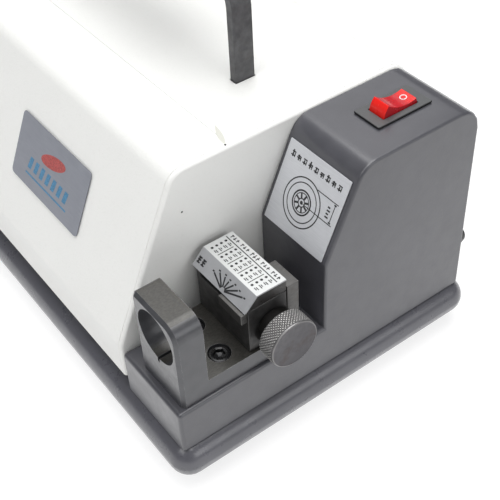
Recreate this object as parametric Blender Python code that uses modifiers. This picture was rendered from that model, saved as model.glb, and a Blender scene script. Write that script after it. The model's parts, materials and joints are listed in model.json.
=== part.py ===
"""Bench drill-bit grinder, built as an assembly of separate pieces.

Metres, +Z up, X to the right along the machine, +Y to the back, origin at the bottom centre.
Every piece is a child of the empty "machine", which centres the whole assembly on the origin.
"""
import bpy
import bmesh
from math import radians, sin, cos, tan, pi, asin, sqrt
from mathutils import Matrix, Vector

# ---- Driving dimensions ------------------------------------------------------------------------
GAP = 0.0003                 # air left between two pieces that touch

LENGTH = 0.3140              # over both end castings, X
DEPTH = 0.1655               # front to back of the castings, Y
HEIGHT = 0.1079              # castings above the base plate
END_W = 0.0444               # width of one end casting
FRONT_SLOPE = radians(24.5)  # lean of the sloped fronts from the vertical
WALL = 0.005                 # casting wall

BASE_T = 0.0194              # base plate, with a full round edge
BASE_OVER = 0.005            # base plate beyond the castings
BASE_CORNER_R = 0.0098
BASE_RIM_W = 0.034           # solid border round the hollow underside
BASE_TOP_T = 0.0060
FOOT_H = 0.0060
FOOT_R = 0.0110
FOOT_INSET = 0.0200
FOOT_TAPER = 0.86            # radius at the floor, as a share of the foot's own
FOOT_SCREW_CLEAR = 0.0008

SHELF_H = 0.0245             # shelf that carries the setting gauge
SHELF_D = 0.0789
SHELF_EDGE_R = 0.0018
BLOCK_FOOT_H = 0.0637        # height at which a casting's slope starts
BLOCK_EDGE_R = 0.0014        # outer edges of the end castings
BLOCK_TOP_R = 0.0120         # round where the tops meet the backs
BLOCK_BROW_R = 0.0110        # round where the slope meets the top
BLOCK_KNEE_R = 0.0030        # round where the slope starts

SKIRT_H = 0.0090
SKIRT_T = 0.0140
SKIRT_INSET = 0.0030
HOOD_T = 0.0020
HOOD_CAP_T = 0.0022
HOOD_RISE = 0.0010           # hood top above the casting tops
HOOD_PROUD = 0.0008          # hood front beyond the casting fronts
HOOD_SLOPE_Z = 0.0290
HOOD_BROW_R = 0.0095
HOOD_EDGE_R = 0.0016
HOOD_KNEE_R = 0.0080         # bend where the hood's slope starts
SEAM_Y = 0.0646              # seam of the two hood shells, behind the front face

HANDLE_SPAN = 0.1548
HANDLE_H = 0.0555            # above the hood top
HANDLE_T = 0.0044
HANDLE_W = 0.0105
HANDLE_Y = 0.0983
HANDLE_CORNER_R = 0.016
GRIP_L = 0.096
GRIP_W = 0.0200
GRIP_H = 0.0125
GRIP_CORNER_R = 0.0055
HANDLE_LEG = 0.0100          # legs below the hood's skin
HANDLE_PIN_R = 0.0018
HANDLE_PIN_L = 0.0140
HANDLE_PIN_DROP = 0.0050     # pins below the hood's skin

PLATE_T = 0.0005             # nameplate and sticker
NAMEPLATE_W = 0.0644
NAMEPLATE_L = 0.0337
NAMEPLATE_CORNER_R = 0.0022
NAMEPLATE_X = 0.0300         # centre, from the middle of the machine
NAMEPLATE_UP = 0.0431        # centre, up the slope from its foot
STICKER_SIDE = 0.00245       # bare casting beside the sticker
STICKER_FOOT = 0.0007        # and below it
STICKER_HEAD = 0.00887       # and above it
STICKER_CORNER_R = 0.0004

BEZEL_W = 0.0162
BEZEL_L = 0.0311
BEZEL_T = 0.0009
BEZEL_CORNER_R = 0.0010
BEZEL_EDGE_R = 0.0003
BEZEL_BACK = 0.0309          # centre, in from the back face
ROCKER_W = 0.0099
ROCKER_R = 0.0097
ROCKER_TIP = 0.0041          # ends of the level rocker above the bezel
ROCKER_DIP = 0.0019
ROCKER_TILT = radians(11.0)
PIVOT_DROP = 0.0011          # rocker axis below the bezel's top
ROCKER_SWEEP = radians(38)   # rocker's round side below its axis
SWITCH_DEPTH = 0.0200
SWITCH_BODY_OVER = 0.0015    # switch body beyond the rocker's sides
SWITCH_BODY_IN = 0.0020      # switch body in from the bezel's ends
SWITCH_OFF = 0.0002          # switch off the casting's middle, to the left
TERMINAL_T = 0.0008
TERMINAL_W = 0.0048
TERMINAL_L = 0.0080
TERMINAL_X = 0.0035          # terminals off the switch's middle
TERMINAL_Y = 0.0070

BORE_R = 0.0130              # bore that takes the drill chuck: ring and ports
BRACKET_T = 0.0090
BRACKET_LEFT = 0.0035        # bracket's left side in from the casting's inner face
BRACKET_RIGHT = 0.0020       # bracket's right side in from the casting's right face
BRACKET_FRONT = 0.0038
BRACKET_BEHIND = 0.0015      # bracket beyond the jaw's tail
BRACKET_BACK = 0.0103        # bracket's back off the recessed face
RING_WALL = 0.0030           # ring beside its bore
RING_OVER = 0.0018           # ring above its bore
RING_T = 0.0135
RING_CORNER_R = 0.0078
RING_LEFT_R = 0.0026
RING_EDGE_R = 0.0016
RING_BORE_H = 0.0320         # bore axis above the shelf
KEYWAY_W = 0.0014
KEYWAY_DEEP = 0.0024
SCREW_HEAD_R = 0.0050
SCREW_HEAD_H = 0.0050
SCREW_SOCKET_R = 0.0029
SCREW_SOCKET_H = 0.0028
SCREW_SHANK_R = 0.0026
SCREW_EDGE = 0.0004
SCREW_BEHIND = 0.0124        # bracket screws behind the ring
SCREW_RIGHT = 0.0117         # right screw in from the casting's right face
SCREW_LEFT = 0.0129          # left screw in from the casting's inner face

GAUGE_D = 0.0203
GAUGE_RIGHT = 0.0034         # gauge block in from the casting's right face
GAUGE_LEFT = 0.0032          # and from its inner face
GAUGE_H = 0.0306             # gauge block above the bracket plate, roof included
CHEEK_R = 0.0012             # thin end wall by the knob
CHEEK_L = 0.0030
SLOT_H = 0.0058
ROOF_H = 0.0056
ROOF_SKIN = 0.0008           # bent scale plate
JAW_L = 0.0162
JAW_PROUD = 0.0036
JAW_TAIL_D = 0.0064          # jaw's block behind the gauge body
JAW_TAIL_RISE = 0.0022
JAW_LUG = 0.0080
LEAD_R = 0.0025
KNOB_R = 0.0121
KNOB_L = 0.0095
KNOB_COLLAR_R = 0.0093
KNOB_CHAMFER = 0.0006
KNOB_CLEAR = 0.0024          # knob off the casting's right face
KNOB_OFF = 0.00245           # knob's axis behind the gauge block's middle
COLLAR_CLEAR = 0.0006        # knob's collar above the bracket plate
LUG_DROP = 0.0010            # top of the jaw's lug solid below the saddle's top

GLAND_Z = 0.0188             # cable outlet above the base plate
GLAND_R = 0.0062
GLAND_OUT = 0.0108
GLAND_BORE_R = 0.0036
GLAND_NECK = 0.0010          # neck narrower than the gland
GLAND_IN = 0.0060            # neck beyond the casting wall
LOCKNUT_T = 0.0040
LOCKNUT_W = 0.0012           # nut beyond the gland's neck

MOTOR_RISE = 0.00055         # motor's axis above the middle of the space under the castings' tops
MOTOR_CLEAR = 0.00879        # motor off the hood's sloped sheet
MOTOR_R = 0.0350
MOTOR_L = 0.0900
MOTOR_X = 0.0100             # middle of the motor
CAN_T = 0.0025
BELL_T = 0.0120
BEARING_R = 0.0160
BEARING_W = 0.0090
SHAFT_R = 0.0060
ROTOR_R = 0.0220
ROTOR_L = 0.0500
AIR_GAP = 0.0006
BELL_LIP = 0.0020
CRADLE_SPREAD = radians(56)  # how much of the can is held, to each side of its lowest line
CRADLE_SIDE = 0.0040
CRADLE_SHARE = 0.32          # cradles off the motor's middle, as a share of its length
CRADLE_T = 0.0100
WHEEL_R = 0.0380
WHEEL_T = 0.0160
FLANGE_R = 0.0150
FLANGE_T = 0.0040
WHEEL_SHIFT = 0.00045        # wheel off the middle of the room it has, to the left
WHEEL_CONE = 0.45            # share of the rim that is ground to a cone
NUT_R = 0.0100
NUT_H = 0.0055
SHAFT_END = 0.0015           # shaft beyond the wheel nut
SHAFT_HOLE = 0.0020          # clearance round the back flange
PORT_SLEEVE_T = 0.0022
PORT_SLEEVE_IN = 0.0030      # sleeve beyond the wall
PORT_FLANGE_W = 0.0043       # flange beyond the sleeve
PORT_FLANGE_T = 0.0045
PORT_SCREW_R = 0.0015
PORT_SCREW_SUNK = 0.0002
PORT_MARGIN = 0.0042         # port's flange below the casting's slope
PORT_SIDE_AHEAD = 0.0220     # side port ahead of the wheel's axis

# ---- Places worked out from them ---------------------------------------------------------------
XR = LENGTH / 2
YF = -DEPTH / 2
YB = DEPTH / 2
Z_BASE = FOOT_H + BASE_T     # top of the base plate
Z_CAST = Z_BASE + GAP        # underside of the castings
Z_TOP = Z_BASE + HEIGHT
Z_SHELF = Z_BASE + SHELF_H
Z_FOOT = Z_BASE + BLOCK_FOOT_H
X_BLOCK = XR - END_W         # inner face of the right casting
X_BLOCK_LEFT = -X_BLOCK      # inner face of the left casting
X_HOOD = X_BLOCK - GAP       # hood's end
Y_RECESS = YF + SHELF_D
Y_SEAM = YF + SEAM_Y
TAN = tan(FRONT_SLOPE)
HOOD_LOW = Z_BASE + SKIRT_H + GAP
HOOD_TOP = Z_TOP + HOOD_RISE
SWITCH_X = XR - END_W / 2 - SWITCH_OFF
SWITCH_Y = YB - BEZEL_BACK
SLOPE_L = (Z_TOP - Z_FOOT) / cos(FRONT_SLOPE)      # length of the right casting's slope
STICKER_L = SLOPE_L - STICKER_FOOT - STICKER_HEAD
NUT_RING_R = GLAND_R - GLAND_NECK + LOCKNUT_W
GLAND_X = XR - WALL - 2 * GAP - NUT_RING_R

RING_W = 2 * (BORE_R + RING_WALL)
RING_H = RING_BORE_H + BORE_R + RING_OVER      # ring above the shelf
Z_PLATE = Z_SHELF + GAP + BRACKET_T
BRACKET_X1 = XR - BRACKET_RIGHT
BRACKET_X0 = X_BLOCK + BRACKET_LEFT
BRACKET_Y0 = YF + BRACKET_FRONT
BORE_X = BRACKET_X1 - RING_W / 2
BORE_Z = Z_SHELF + RING_BORE_H
BRACKET_Y1 = Y_RECESS - BRACKET_BACK
SCREW_Y = BRACKET_Y0 + RING_T + SCREW_BEHIND
SCREW_PLACES = (("right", XR - SCREW_RIGHT), ("left", X_BLOCK + SCREW_LEFT))

GAUGE_X1 = XR - GAUGE_RIGHT
GAUGE_X0 = X_BLOCK + GAUGE_LEFT
TAIL_Y1 = BRACKET_Y1 - BRACKET_BEHIND
GAUGE_Y1 = TAIL_Y1 - JAW_TAIL_D - GAP
GAUGE_Y0 = GAUGE_Y1 - GAUGE_D
GAUGE_Z0 = Z_PLATE + GAP
GAUGE_Z1 = Z_PLATE + GAUGE_H - SLOT_H - ROOF_H
SLOT_TOP = GAUGE_Z1 + SLOT_H
AXIS_Y = (GAUGE_Y0 + GAUGE_Y1) / 2 + KNOB_OFF
AXIS_Z = Z_PLATE + KNOB_COLLAR_R + COLLAR_CLEAR
KNOB_X = XR + KNOB_CLEAR + KNOB_L      # knob's outer face

SHAFT_Z = (Z_BASE + Z_TOP - WALL) / 2 + MOTOR_RISE
TO_SLOPE = MOTOR_R + MOTOR_CLEAR + HOOD_T       # motor's axis to the outside of the hood's slope
SHAFT_Y = YF - HOOD_PROUD + TO_SLOPE / cos(FRONT_SLOPE) + (SHAFT_Z - Z_BASE - HOOD_SLOPE_Z) * TAN
WHEEL_ROOM = END_W - 2 * WALL - WHEEL_T - GAP - NUT_H - SHAFT_END
WHEEL_X1 = X_BLOCK_LEFT - WALL - WHEEL_ROOM / 2 - WHEEL_SHIFT
WHEEL_X0 = WHEEL_X1 - WHEEL_T
PORT_X = -XR + END_W / 2
PORT_SIDE_Y = SHAFT_Y - PORT_SIDE_AHEAD
SLEEVE_R = BORE_R + PORT_SLEEVE_T
FLANGE_OUT_R = SLEEVE_R + PORT_FLANGE_W
PORT_Z = Z_BASE + BLOCK_FOOT_H - PORT_MARGIN - FLANGE_OUT_R

COLLECTION = "drill_grinder"
CUTTERS = "cutters"


# ---- Helpers -----------------------------------------------------------------------------------
def start():
    for ob in list(bpy.data.objects):
        bpy.data.objects.remove(ob)
    for name in (COLLECTION, CUTTERS):
        bpy.context.scene.collection.children.link(bpy.data.collections.new(name))
    machine = bpy.data.objects.new("machine", None)
    bpy.data.collections[COLLECTION].objects.link(machine)
    knob_beyond_base = KNOB_X - XR - BASE_OVER
    gland_beyond_base = GLAND_OUT - BASE_OVER
    machine.location = (-knob_beyond_base / 2, -gland_beyond_base / 2, 0)
    return machine


def material(name, colour, roughness, metallic=0.0):
    mat = bpy.data.materials.new(name)
    mat.use_nodes = True
    shader = mat.node_tree.nodes["Principled BSDF"]
    shader.inputs["Base Color"].default_value = (*colour, 1)
    shader.inputs["Roughness"].default_value = roughness
    shader.inputs["Metallic"].default_value = metallic
    return mat


def add(name, mesh, place=(0, 0, 0), mat=None):
    """A new object: a part when it has a material, else a cutter."""
    ob = bpy.data.objects.new(name, mesh)
    ob.location = place
    ob.parent = bpy.data.objects["machine"]
    if mat:
        mesh.materials.clear()
        mesh.materials.append(mat)
        bpy.data.collections[COLLECTION].objects.link(ob)
    else:
        ob.hide_render = True
        ob.display_type = 'WIRE'
        bpy.data.collections[CUTTERS].objects.link(ob)
    return ob


def box(name, low, high, mat=None):
    low, high = Vector(low), Vector(high)
    size = high - low
    mesh = bpy.data.meshes.new(name)
    bm = bmesh.new()
    bmesh.ops.create_cube(bm, size=1.0, matrix=Matrix.Diagonal((*size, 1)))
    bm.to_mesh(mesh)
    bm.free()
    return add(name, mesh, (low + high) / 2, mat)


TURN = {'X': Matrix.Rotation(pi / 2, 4, 'Y'),
        'Y': Matrix.Rotation(-pi / 2, 4, 'X'),
        'Z': Matrix.Identity(4)}


def cylinder(name, centre, axis, radius, length, mat=None, segments=32):
    mesh = bpy.data.meshes.new(name)
    bm = bmesh.new()
    bmesh.ops.create_cone(bm, cap_ends=True, segments=segments, radius1=radius, radius2=radius,
                          depth=length, matrix=TURN[axis])
    bm.to_mesh(mesh)
    bm.free()
    ob = add(name, mesh, centre, mat)
    smooth(ob)
    return ob


def turned(name, profile, place, axis, mat=None, steps=32, closed=False):
    """A lathe shape: profile is (radius, height) down the outer side, spun about the axis."""
    mesh = bpy.data.meshes.new(name)
    verts = [(r, 0, h) for r, h in profile]
    edges = [(i, i + 1) for i in range(len(verts) - 1)]
    if closed:
        edges.append((len(verts) - 1, 0))
    mesh.from_pydata(verts, edges, [])
    ob = add(name, mesh, place, mat)
    ob.rotation_euler = TURN[axis].to_euler()
    spin = ob.modifiers.new("spin", 'SCREW')
    spin.steps = steps
    spin.render_steps = steps
    spin.use_merge_vertices = True
    spin.merge_threshold = 0.00001
    spin.use_smooth_shade = False
    return ob


PLANE = {'X': Matrix(((0, 0, 1, 0), (1, 0, 0, 0), (0, 1, 0, 0), (0, 0, 0, 1))),
         'Y': Matrix(((1, 0, 0, 0), (0, 0, -1, 0), (0, 1, 0, 0), (0, 0, 0, 1))),
         'Z': Matrix.Identity(4)}


def outline(name, loops, axis, start_at, end_at, mat=None, pivot=(0, 0, 0)):
    """A flat outline extruded along an axis. Its points are (Y, Z), (X, Z) or (X, Y)."""
    curve = bpy.data.curves.new(name, 'CURVE')
    curve.dimensions = '2D'
    curve.fill_mode = 'BOTH'
    curve.extrude = (end_at - start_at) / 2
    for loop in loops:
        spline = curve.splines.new('POLY')
        spline.points.add(len(loop) - 1)
        for point, (u, v) in zip(spline.points, loop):
            point.co = (u, v, 0, 1)
        spline.use_cyclic_u = True
    guide = bpy.data.objects.new(name + "_outline", curve)
    bpy.context.scene.collection.objects.link(guide)
    bpy.context.view_layer.update()
    graph = bpy.context.evaluated_depsgraph_get()
    mesh = bpy.data.meshes.new_from_object(guide.evaluated_get(graph))
    mesh.name = name
    middle = (start_at + end_at) / 2
    along = {'X': (middle, 0, 0), 'Y': (0, middle, 0), 'Z': (0, 0, middle)}[axis]
    mesh.transform(Matrix.Translation(Vector(along) - Vector(pivot)) @ PLANE[axis])
    bm = bmesh.new()
    bm.from_mesh(mesh)
    bmesh.ops.remove_doubles(bm, verts=bm.verts, dist=0.000001)
    bmesh.ops.dissolve_limit(bm, angle_limit=radians(0.1), verts=bm.verts, edges=bm.edges)
    bmesh.ops.recalc_face_normals(bm, faces=bm.faces)
    bm.to_mesh(mesh)
    bm.free()
    bpy.data.objects.remove(guide)
    return add(name, mesh, pivot, mat)


def rounded(corners, steps=5):
    """Corners are (u, v) or (u, v, radius); each radius becomes an arc."""
    points = []
    count = len(corners)
    for i, corner in enumerate(corners):
        here = Vector(corner[:2])
        radius = corner[2] if len(corner) > 2 else 0
        if radius == 0:
            points.append(tuple(here))
            continue
        back = (Vector(corners[i - 1][:2]) - here).normalized()
        ahead = (Vector(corners[(i + 1) % count][:2]) - here).normalized()
        half = back.angle(ahead) / 2
        centre = here + (back + ahead).normalized() * (radius / sin(half))
        first = here + back * (radius / tan(half)) - centre
        sweep = pi - 2 * half
        if back.x * ahead.y - back.y * ahead.x > 0:
            sweep = -sweep
        for k in range(steps + 1):
            points.append(tuple(centre + Matrix.Rotation(sweep * k / steps, 2) @ first))
    return points


def rectangle(u0, v0, u1, v1, radius=0, steps=4):
    return rounded([(u0, v0, radius), (u1, v0, radius), (u1, v1, radius), (u0, v1, radius)], steps)


def combine(ob, other, operation):
    mod = ob.modifiers.new(other.name, 'BOOLEAN')
    mod.operation = operation
    mod.object = other
    mod.solver = 'EXACT'
    return ob


def cut(ob, *cutters):
    for cutter in cutters:
        combine(ob, cutter, 'DIFFERENCE')
    return ob


def soften(ob, rules, segments=3):
    """Round the edges that a rule picks: rules are (test(middle, direction), width)."""
    widest = max(width for _, width in rules)
    mesh = ob.data
    weight = mesh.attributes.new("bevel_weight_edge", 'FLOAT', 'EDGE')
    for edge in mesh.edges:
        a, b = (mesh.vertices[v].co + ob.location for v in edge.vertices)
        for test, width in rules:
            if test((a + b) / 2, (b - a).normalized()):
                weight.data[edge.index].value = width / widest
                break
    mod = ob.modifiers.new("soften", 'BEVEL')
    mod.limit_method = 'WEIGHT'
    mod.width = widest
    mod.segments = segments
    mod.use_clamp_overlap = True
    return ob


def smooth(ob, angle=35):
    ob.data.shade_smooth()
    ob.data.set_sharp_from_angle(angle=radians(angle))
    return ob


def near(a, b):
    return abs(a - b) < 0.00005


# ---- Base --------------------------------------------------------------------------------------
def base_plate(iron):
    x, y = XR + BASE_OVER, YB + BASE_OVER
    plan = rectangle(-x, -y, x, y, BASE_CORNER_R, 6)
    base = outline("base_plate", [plan], 'Z', FOOT_H, Z_BASE, iron)
    edge = base.modifiers.new("full_round", 'BEVEL')
    edge.limit_method = 'ANGLE'
    edge.angle_limit = radians(60)
    edge.width = BASE_T / 2 - 0.0002
    edge.segments = 6
    hollow = box("base_hollow", (-x + BASE_RIM_W, -y + BASE_RIM_W, FOOT_H - 0.01),
                 (x - BASE_RIM_W, y - BASE_RIM_W, Z_BASE - BASE_TOP_T))
    return cut(base, hollow)


def feet(rubber, steel):
    recess_r, recess_h = FOOT_R * 0.5, FOOT_H * 0.5
    for side_x, across in ((-1, "left"), (1, "right")):
        for side_y, along in ((-1, "front"), (1, "rear")):
            x, y = side_x * (XR - FOOT_INSET), side_y * (YB - FOOT_INSET)
            top = FOOT_H - GAP
            turned(f"foot_{along}_{across}",
                   [(0, top), (FOOT_R, top), (FOOT_R * FOOT_TAPER, 0), (recess_r, 0),
                    (recess_r, recess_h), (0, recess_h)], (x, y, 0), 'Z', rubber, 24)
            cylinder(f"foot_screw_{along}_{across}", (x, y, recess_h * 0.55), 'Z', recess_r - FOOT_SCREW_CLEAR,
                     recess_h * 0.5, steel, 16)


# ---- Castings ----------------------------------------------------------------------------------
def block_profile(front, inset, low, high, brow_r, back_r):
    """Side view of an end casting behind `front`, shrunk by inset, from low up to high."""
    foot_z = Z_FOOT + (inset - inset / cos(FRONT_SLOPE)) / TAN
    top_y = front + inset + (high - foot_z) * TAN
    return rounded([(front + inset, low), (YB - inset, low), (YB - inset, high, back_r),
                    (top_y, high, brow_r), (front + inset, foot_z, BLOCK_KNEE_R)], 4)


def right_casting(iron):
    """Switch block with the gauge shelf in front of it, hollow and open underneath."""
    profile = block_profile(Y_RECESS, 0, Z_CAST, Z_TOP, BLOCK_BROW_R, BLOCK_TOP_R)
    block = outline("right_casting", [profile], 'X', X_BLOCK, XR, iron)

    def outer(m, d):
        return near(m.x, XR) and (m.z > Z_SHELF or near(m.y, YB)) and m.z > Z_CAST + GAP
    soften(block, [(outer, BLOCK_EDGE_R)])
    shelf = box("shelf_solid", (X_BLOCK, YF, Z_CAST), (XR, Y_RECESS + WALL / 2, Z_SHELF))

    def shelf_edge(m, d):
        right = near(m.x, XR) and (near(m.z, Z_SHELF) or near(m.y, YF))
        return right or (near(m.y, YF) and near(m.z, Z_SHELF))
    soften(shelf, [(shelf_edge, SHELF_EDGE_R)])
    combine(block, shelf, 'UNION')
    below = Z_CAST - 0.01
    inside = block_profile(Y_RECESS, WALL, below, Z_TOP - WALL, BLOCK_BROW_R - WALL, BLOCK_TOP_R - WALL)
    hollow = outline("block_hollow", [inside], 'X', X_BLOCK + WALL, XR - WALL)
    under_shelf = box("shelf_hollow", (X_BLOCK + WALL, YF + WALL, below),
                      (XR - WALL, Y_RECESS + 2 * WALL, Z_SHELF - WALL))
    half_w, half_l = ROCKER_W / 2 + SWITCH_BODY_OVER + GAP, BEZEL_L / 2 - SWITCH_BODY_IN + GAP
    window = box("switch_window", (SWITCH_X - half_w, SWITCH_Y - half_l, Z_TOP - 2 * WALL),
                 (SWITCH_X + half_w, SWITCH_Y + half_l, Z_TOP + WALL))
    through = 4 * WALL
    gland_place = (GLAND_X, YB, Z_BASE + GLAND_Z)
    cable_hole = cylinder("gland_hole", gland_place, 'Y', GLAND_R - GLAND_NECK, through)
    screw_holes = [cylinder(f"shelf_tapping_{word}", (x, SCREW_Y, Z_SHELF), 'Z', SCREW_SHANK_R + GAP,
                            through, None, 20) for word, x in SCREW_PLACES]
    return cut(block, hollow, under_shelf, window, cable_hole, *screw_holes)


def left_casting(iron):
    """Grinding head: a closed hood over the wheel, with the chuck ports in its front and side."""
    x0, x1 = -XR, X_BLOCK_LEFT
    block = outline("left_casting", [block_profile(YF, 0, Z_CAST, Z_TOP, BLOCK_BROW_R, BLOCK_TOP_R)],
                    'X', x0, x1, iron)

    def outer(m, d):
        return near(m.x, x0) and m.z > Z_CAST + 0.0001
    soften(block, [(outer, BLOCK_EDGE_R)])
    inside = block_profile(YF, WALL, Z_CAST - 0.01, Z_TOP - WALL, BLOCK_BROW_R - WALL, BLOCK_TOP_R - WALL)
    hollow = outline("head_hollow", [inside], 'X', x0 + WALL, x1 - WALL)
    through = 4 * WALL
    hole_r = SLEEVE_R + GAP
    front_hole = cylinder("front_port_hole", (PORT_X, YF, PORT_Z), 'Y', hole_r, through, None, 40)
    side_hole = cylinder("side_port_hole", (x0, PORT_SIDE_Y, PORT_Z), 'X', hole_r, through, None, 40)
    shaft_hole = cylinder("head_shaft_hole", (x1, SHAFT_Y, SHAFT_Z), 'X', FLANGE_R + SHAFT_HOLE, through)
    return cut(block, hollow, front_hole, side_hole, shaft_hole)


def skirts(iron):
    """Low strips between the castings, which the hood stands on."""
    x, y0, y1 = X_HOOD, YF + SKIRT_INSET, YB - SKIRT_INSET
    top = Z_BASE + SKIRT_H
    box("skirt_front", (-x, y0, Z_CAST), (x, y0 + SKIRT_T, top), iron)
    box("skirt_rear", (-x, y1 - SKIRT_T, Z_CAST), (x, y1, top), iron)


# ---- Hood --------------------------------------------------------------------------------------
def hood_profile(inset, low):
    front = YF - HOOD_PROUD + inset
    foot_z = Z_BASE + HOOD_SLOPE_Z + (inset - inset / cos(FRONT_SLOPE)) / TAN
    top = HOOD_TOP - inset
    brow_y = front + (top - foot_z) * TAN
    return rounded([(front, low), (YB - inset, low), (YB - inset, top, BLOCK_TOP_R - inset),
                    (brow_y, top, HOOD_BROW_R - inset), (front, foot_z, HOOD_KNEE_R)], 5)


def hood_shell(name, paint):
    """Bent sheet between the end caps, before the seam cuts it in two."""
    x = X_HOOD - HOOD_CAP_T - GAP
    shell = outline(name, [hood_profile(0, HOOD_LOW)], 'X', -x, x, paint)
    inside = outline(name + "_inside", [hood_profile(HOOD_T, HOOD_LOW - 0.01)], 'X', -LENGTH, LENGTH)
    return cut(shell, inside)


def hood_cap(name, x0, x1, paint):
    """End wall of the hood, with a rounded rim."""
    cap = outline(name, [hood_profile(0, HOOD_LOW)], 'X', x0, x1, paint)
    rim_x = x0 if x0 < 0 else x1

    def rim(m, d):
        return near(m.x, rim_x) and m.z > HOOD_LOW + 0.0001
    return soften(cap, [(rim, HOOD_EDGE_R)])


def hood(paint):
    far = LENGTH
    front = hood_shell("hood_front", paint)
    rear = hood_shell("hood_rear", paint)
    behind = box("behind_seam", (-far, Y_SEAM - GAP / 2, 0), (far, YB + far, HOOD_TOP + 0.05))
    ahead = box("ahead_of_seam", (-far, YF - far, 0), (far, Y_SEAM + GAP / 2, HOOD_TOP + 0.05))
    cut(front, behind)
    cut(rear, ahead)
    hood_cap("hood_end_right", X_HOOD - HOOD_CAP_T, X_HOOD, paint)
    left = hood_cap("hood_end_left", -X_HOOD, -X_HOOD + HOOD_CAP_T, paint)
    cut(left, cylinder("cap_shaft_hole", (-X_HOOD, SHAFT_Y, SHAFT_Z), 'X', FLANGE_R + SHAFT_HOLE, 4 * WALL))
    for side in (-1, 1):
        x = side * (HANDLE_SPAN - HANDLE_T) / 2
        half_x, half_y = HANDLE_T / 2 + GAP, HANDLE_W / 2 + GAP
        slot = box(f"handle_slot_{side}", (x - half_x, YF + HANDLE_Y - half_y, HOOD_TOP - 0.01),
                   (x + half_x, YF + HANDLE_Y + half_y, HOOD_TOP + 0.01))
        cut(rear, slot)


def handle(steel, rubber):
    """Bent strap whose legs pass through the hood and are held below by cross pins."""
    half, top = HANDLE_SPAN / 2, HOOD_TOP + HANDLE_H
    low = HOOD_TOP - HOOD_T - HANDLE_LEG
    t, r = HANDLE_T, HANDLE_CORNER_R
    y0, y1 = YF + HANDLE_Y - HANDLE_W / 2, YF + HANDLE_Y + HANDLE_W / 2
    drop = (GRIP_H - t) / 2          # the grip stands this far above the strap
    strap_top = top - drop
    inner, under = half - t, strap_top - t
    shape = rounded([(-half, low), (-half, strap_top, r), (half, strap_top, r), (half, low), (inner, low),
                     (inner, under, r - t), (-inner, under, r - t), (-inner, low)], 6)
    strap = outline("handle_strap", [shape], 'Y', y0, y1, steel)
    pin_z = HOOD_TOP - HOOD_T - HANDLE_PIN_DROP
    for side, word in ((-1, "left"), (1, "right")):
        x = side * (half - t / 2)
        place = (x, YF + HANDLE_Y, pin_z)
        hole = cylinder(f"handle_pin_hole_{word}", place, 'X', HANDLE_PIN_R + GAP, HANDLE_PIN_L, None, 16)
        cut(strap, hole)
        cylinder(f"handle_pin_{word}", place, 'X', HANDLE_PIN_R, HANDLE_PIN_L, steel, 16)
    middle = YF + HANDLE_Y
    g = GAP
    corner = min(GRIP_CORNER_R, GRIP_H / 2 - g)
    outer = rectangle(middle - GRIP_W / 2, top - GRIP_H, middle + GRIP_W / 2, top, corner, 4)
    inner = rectangle(y0 - g, strap_top - t - g, y1 + g, strap_top + g)
    outline("handle_grip", [outer, inner], 'X', -GRIP_L / 2, GRIP_L / 2, rubber)


# ---- Plates on the slopes ----------------------------------------------------------------------
def on_slope(name, width, length, corner, x, foot_y, foot_z, up, mat):
    """A thin plate lying on a slope, its centre `up` the slope from the slope's foot."""
    plate = outline(name, [rectangle(-width / 2, -length / 2, width / 2, length / 2, corner)], 'Z',
                    GAP, GAP + PLATE_T, mat)
    plate.rotation_euler = (pi / 2 - FRONT_SLOPE, 0, 0)
    plate.location = (x, foot_y + up * sin(FRONT_SLOPE), foot_z + up * cos(FRONT_SLOPE))
    return plate


def plates(silver):
    on_slope("nameplate", NAMEPLATE_W, NAMEPLATE_L, NAMEPLATE_CORNER_R, NAMEPLATE_X, YF - HOOD_PROUD,
             Z_BASE + HOOD_SLOPE_Z, NAMEPLATE_UP, silver)
    on_slope("setting_sticker", END_W - 2 * STICKER_SIDE, STICKER_L, STICKER_CORNER_R, SWITCH_X, Y_RECESS,
             Z_FOOT, STICKER_FOOT + STICKER_L / 2, silver)


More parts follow.
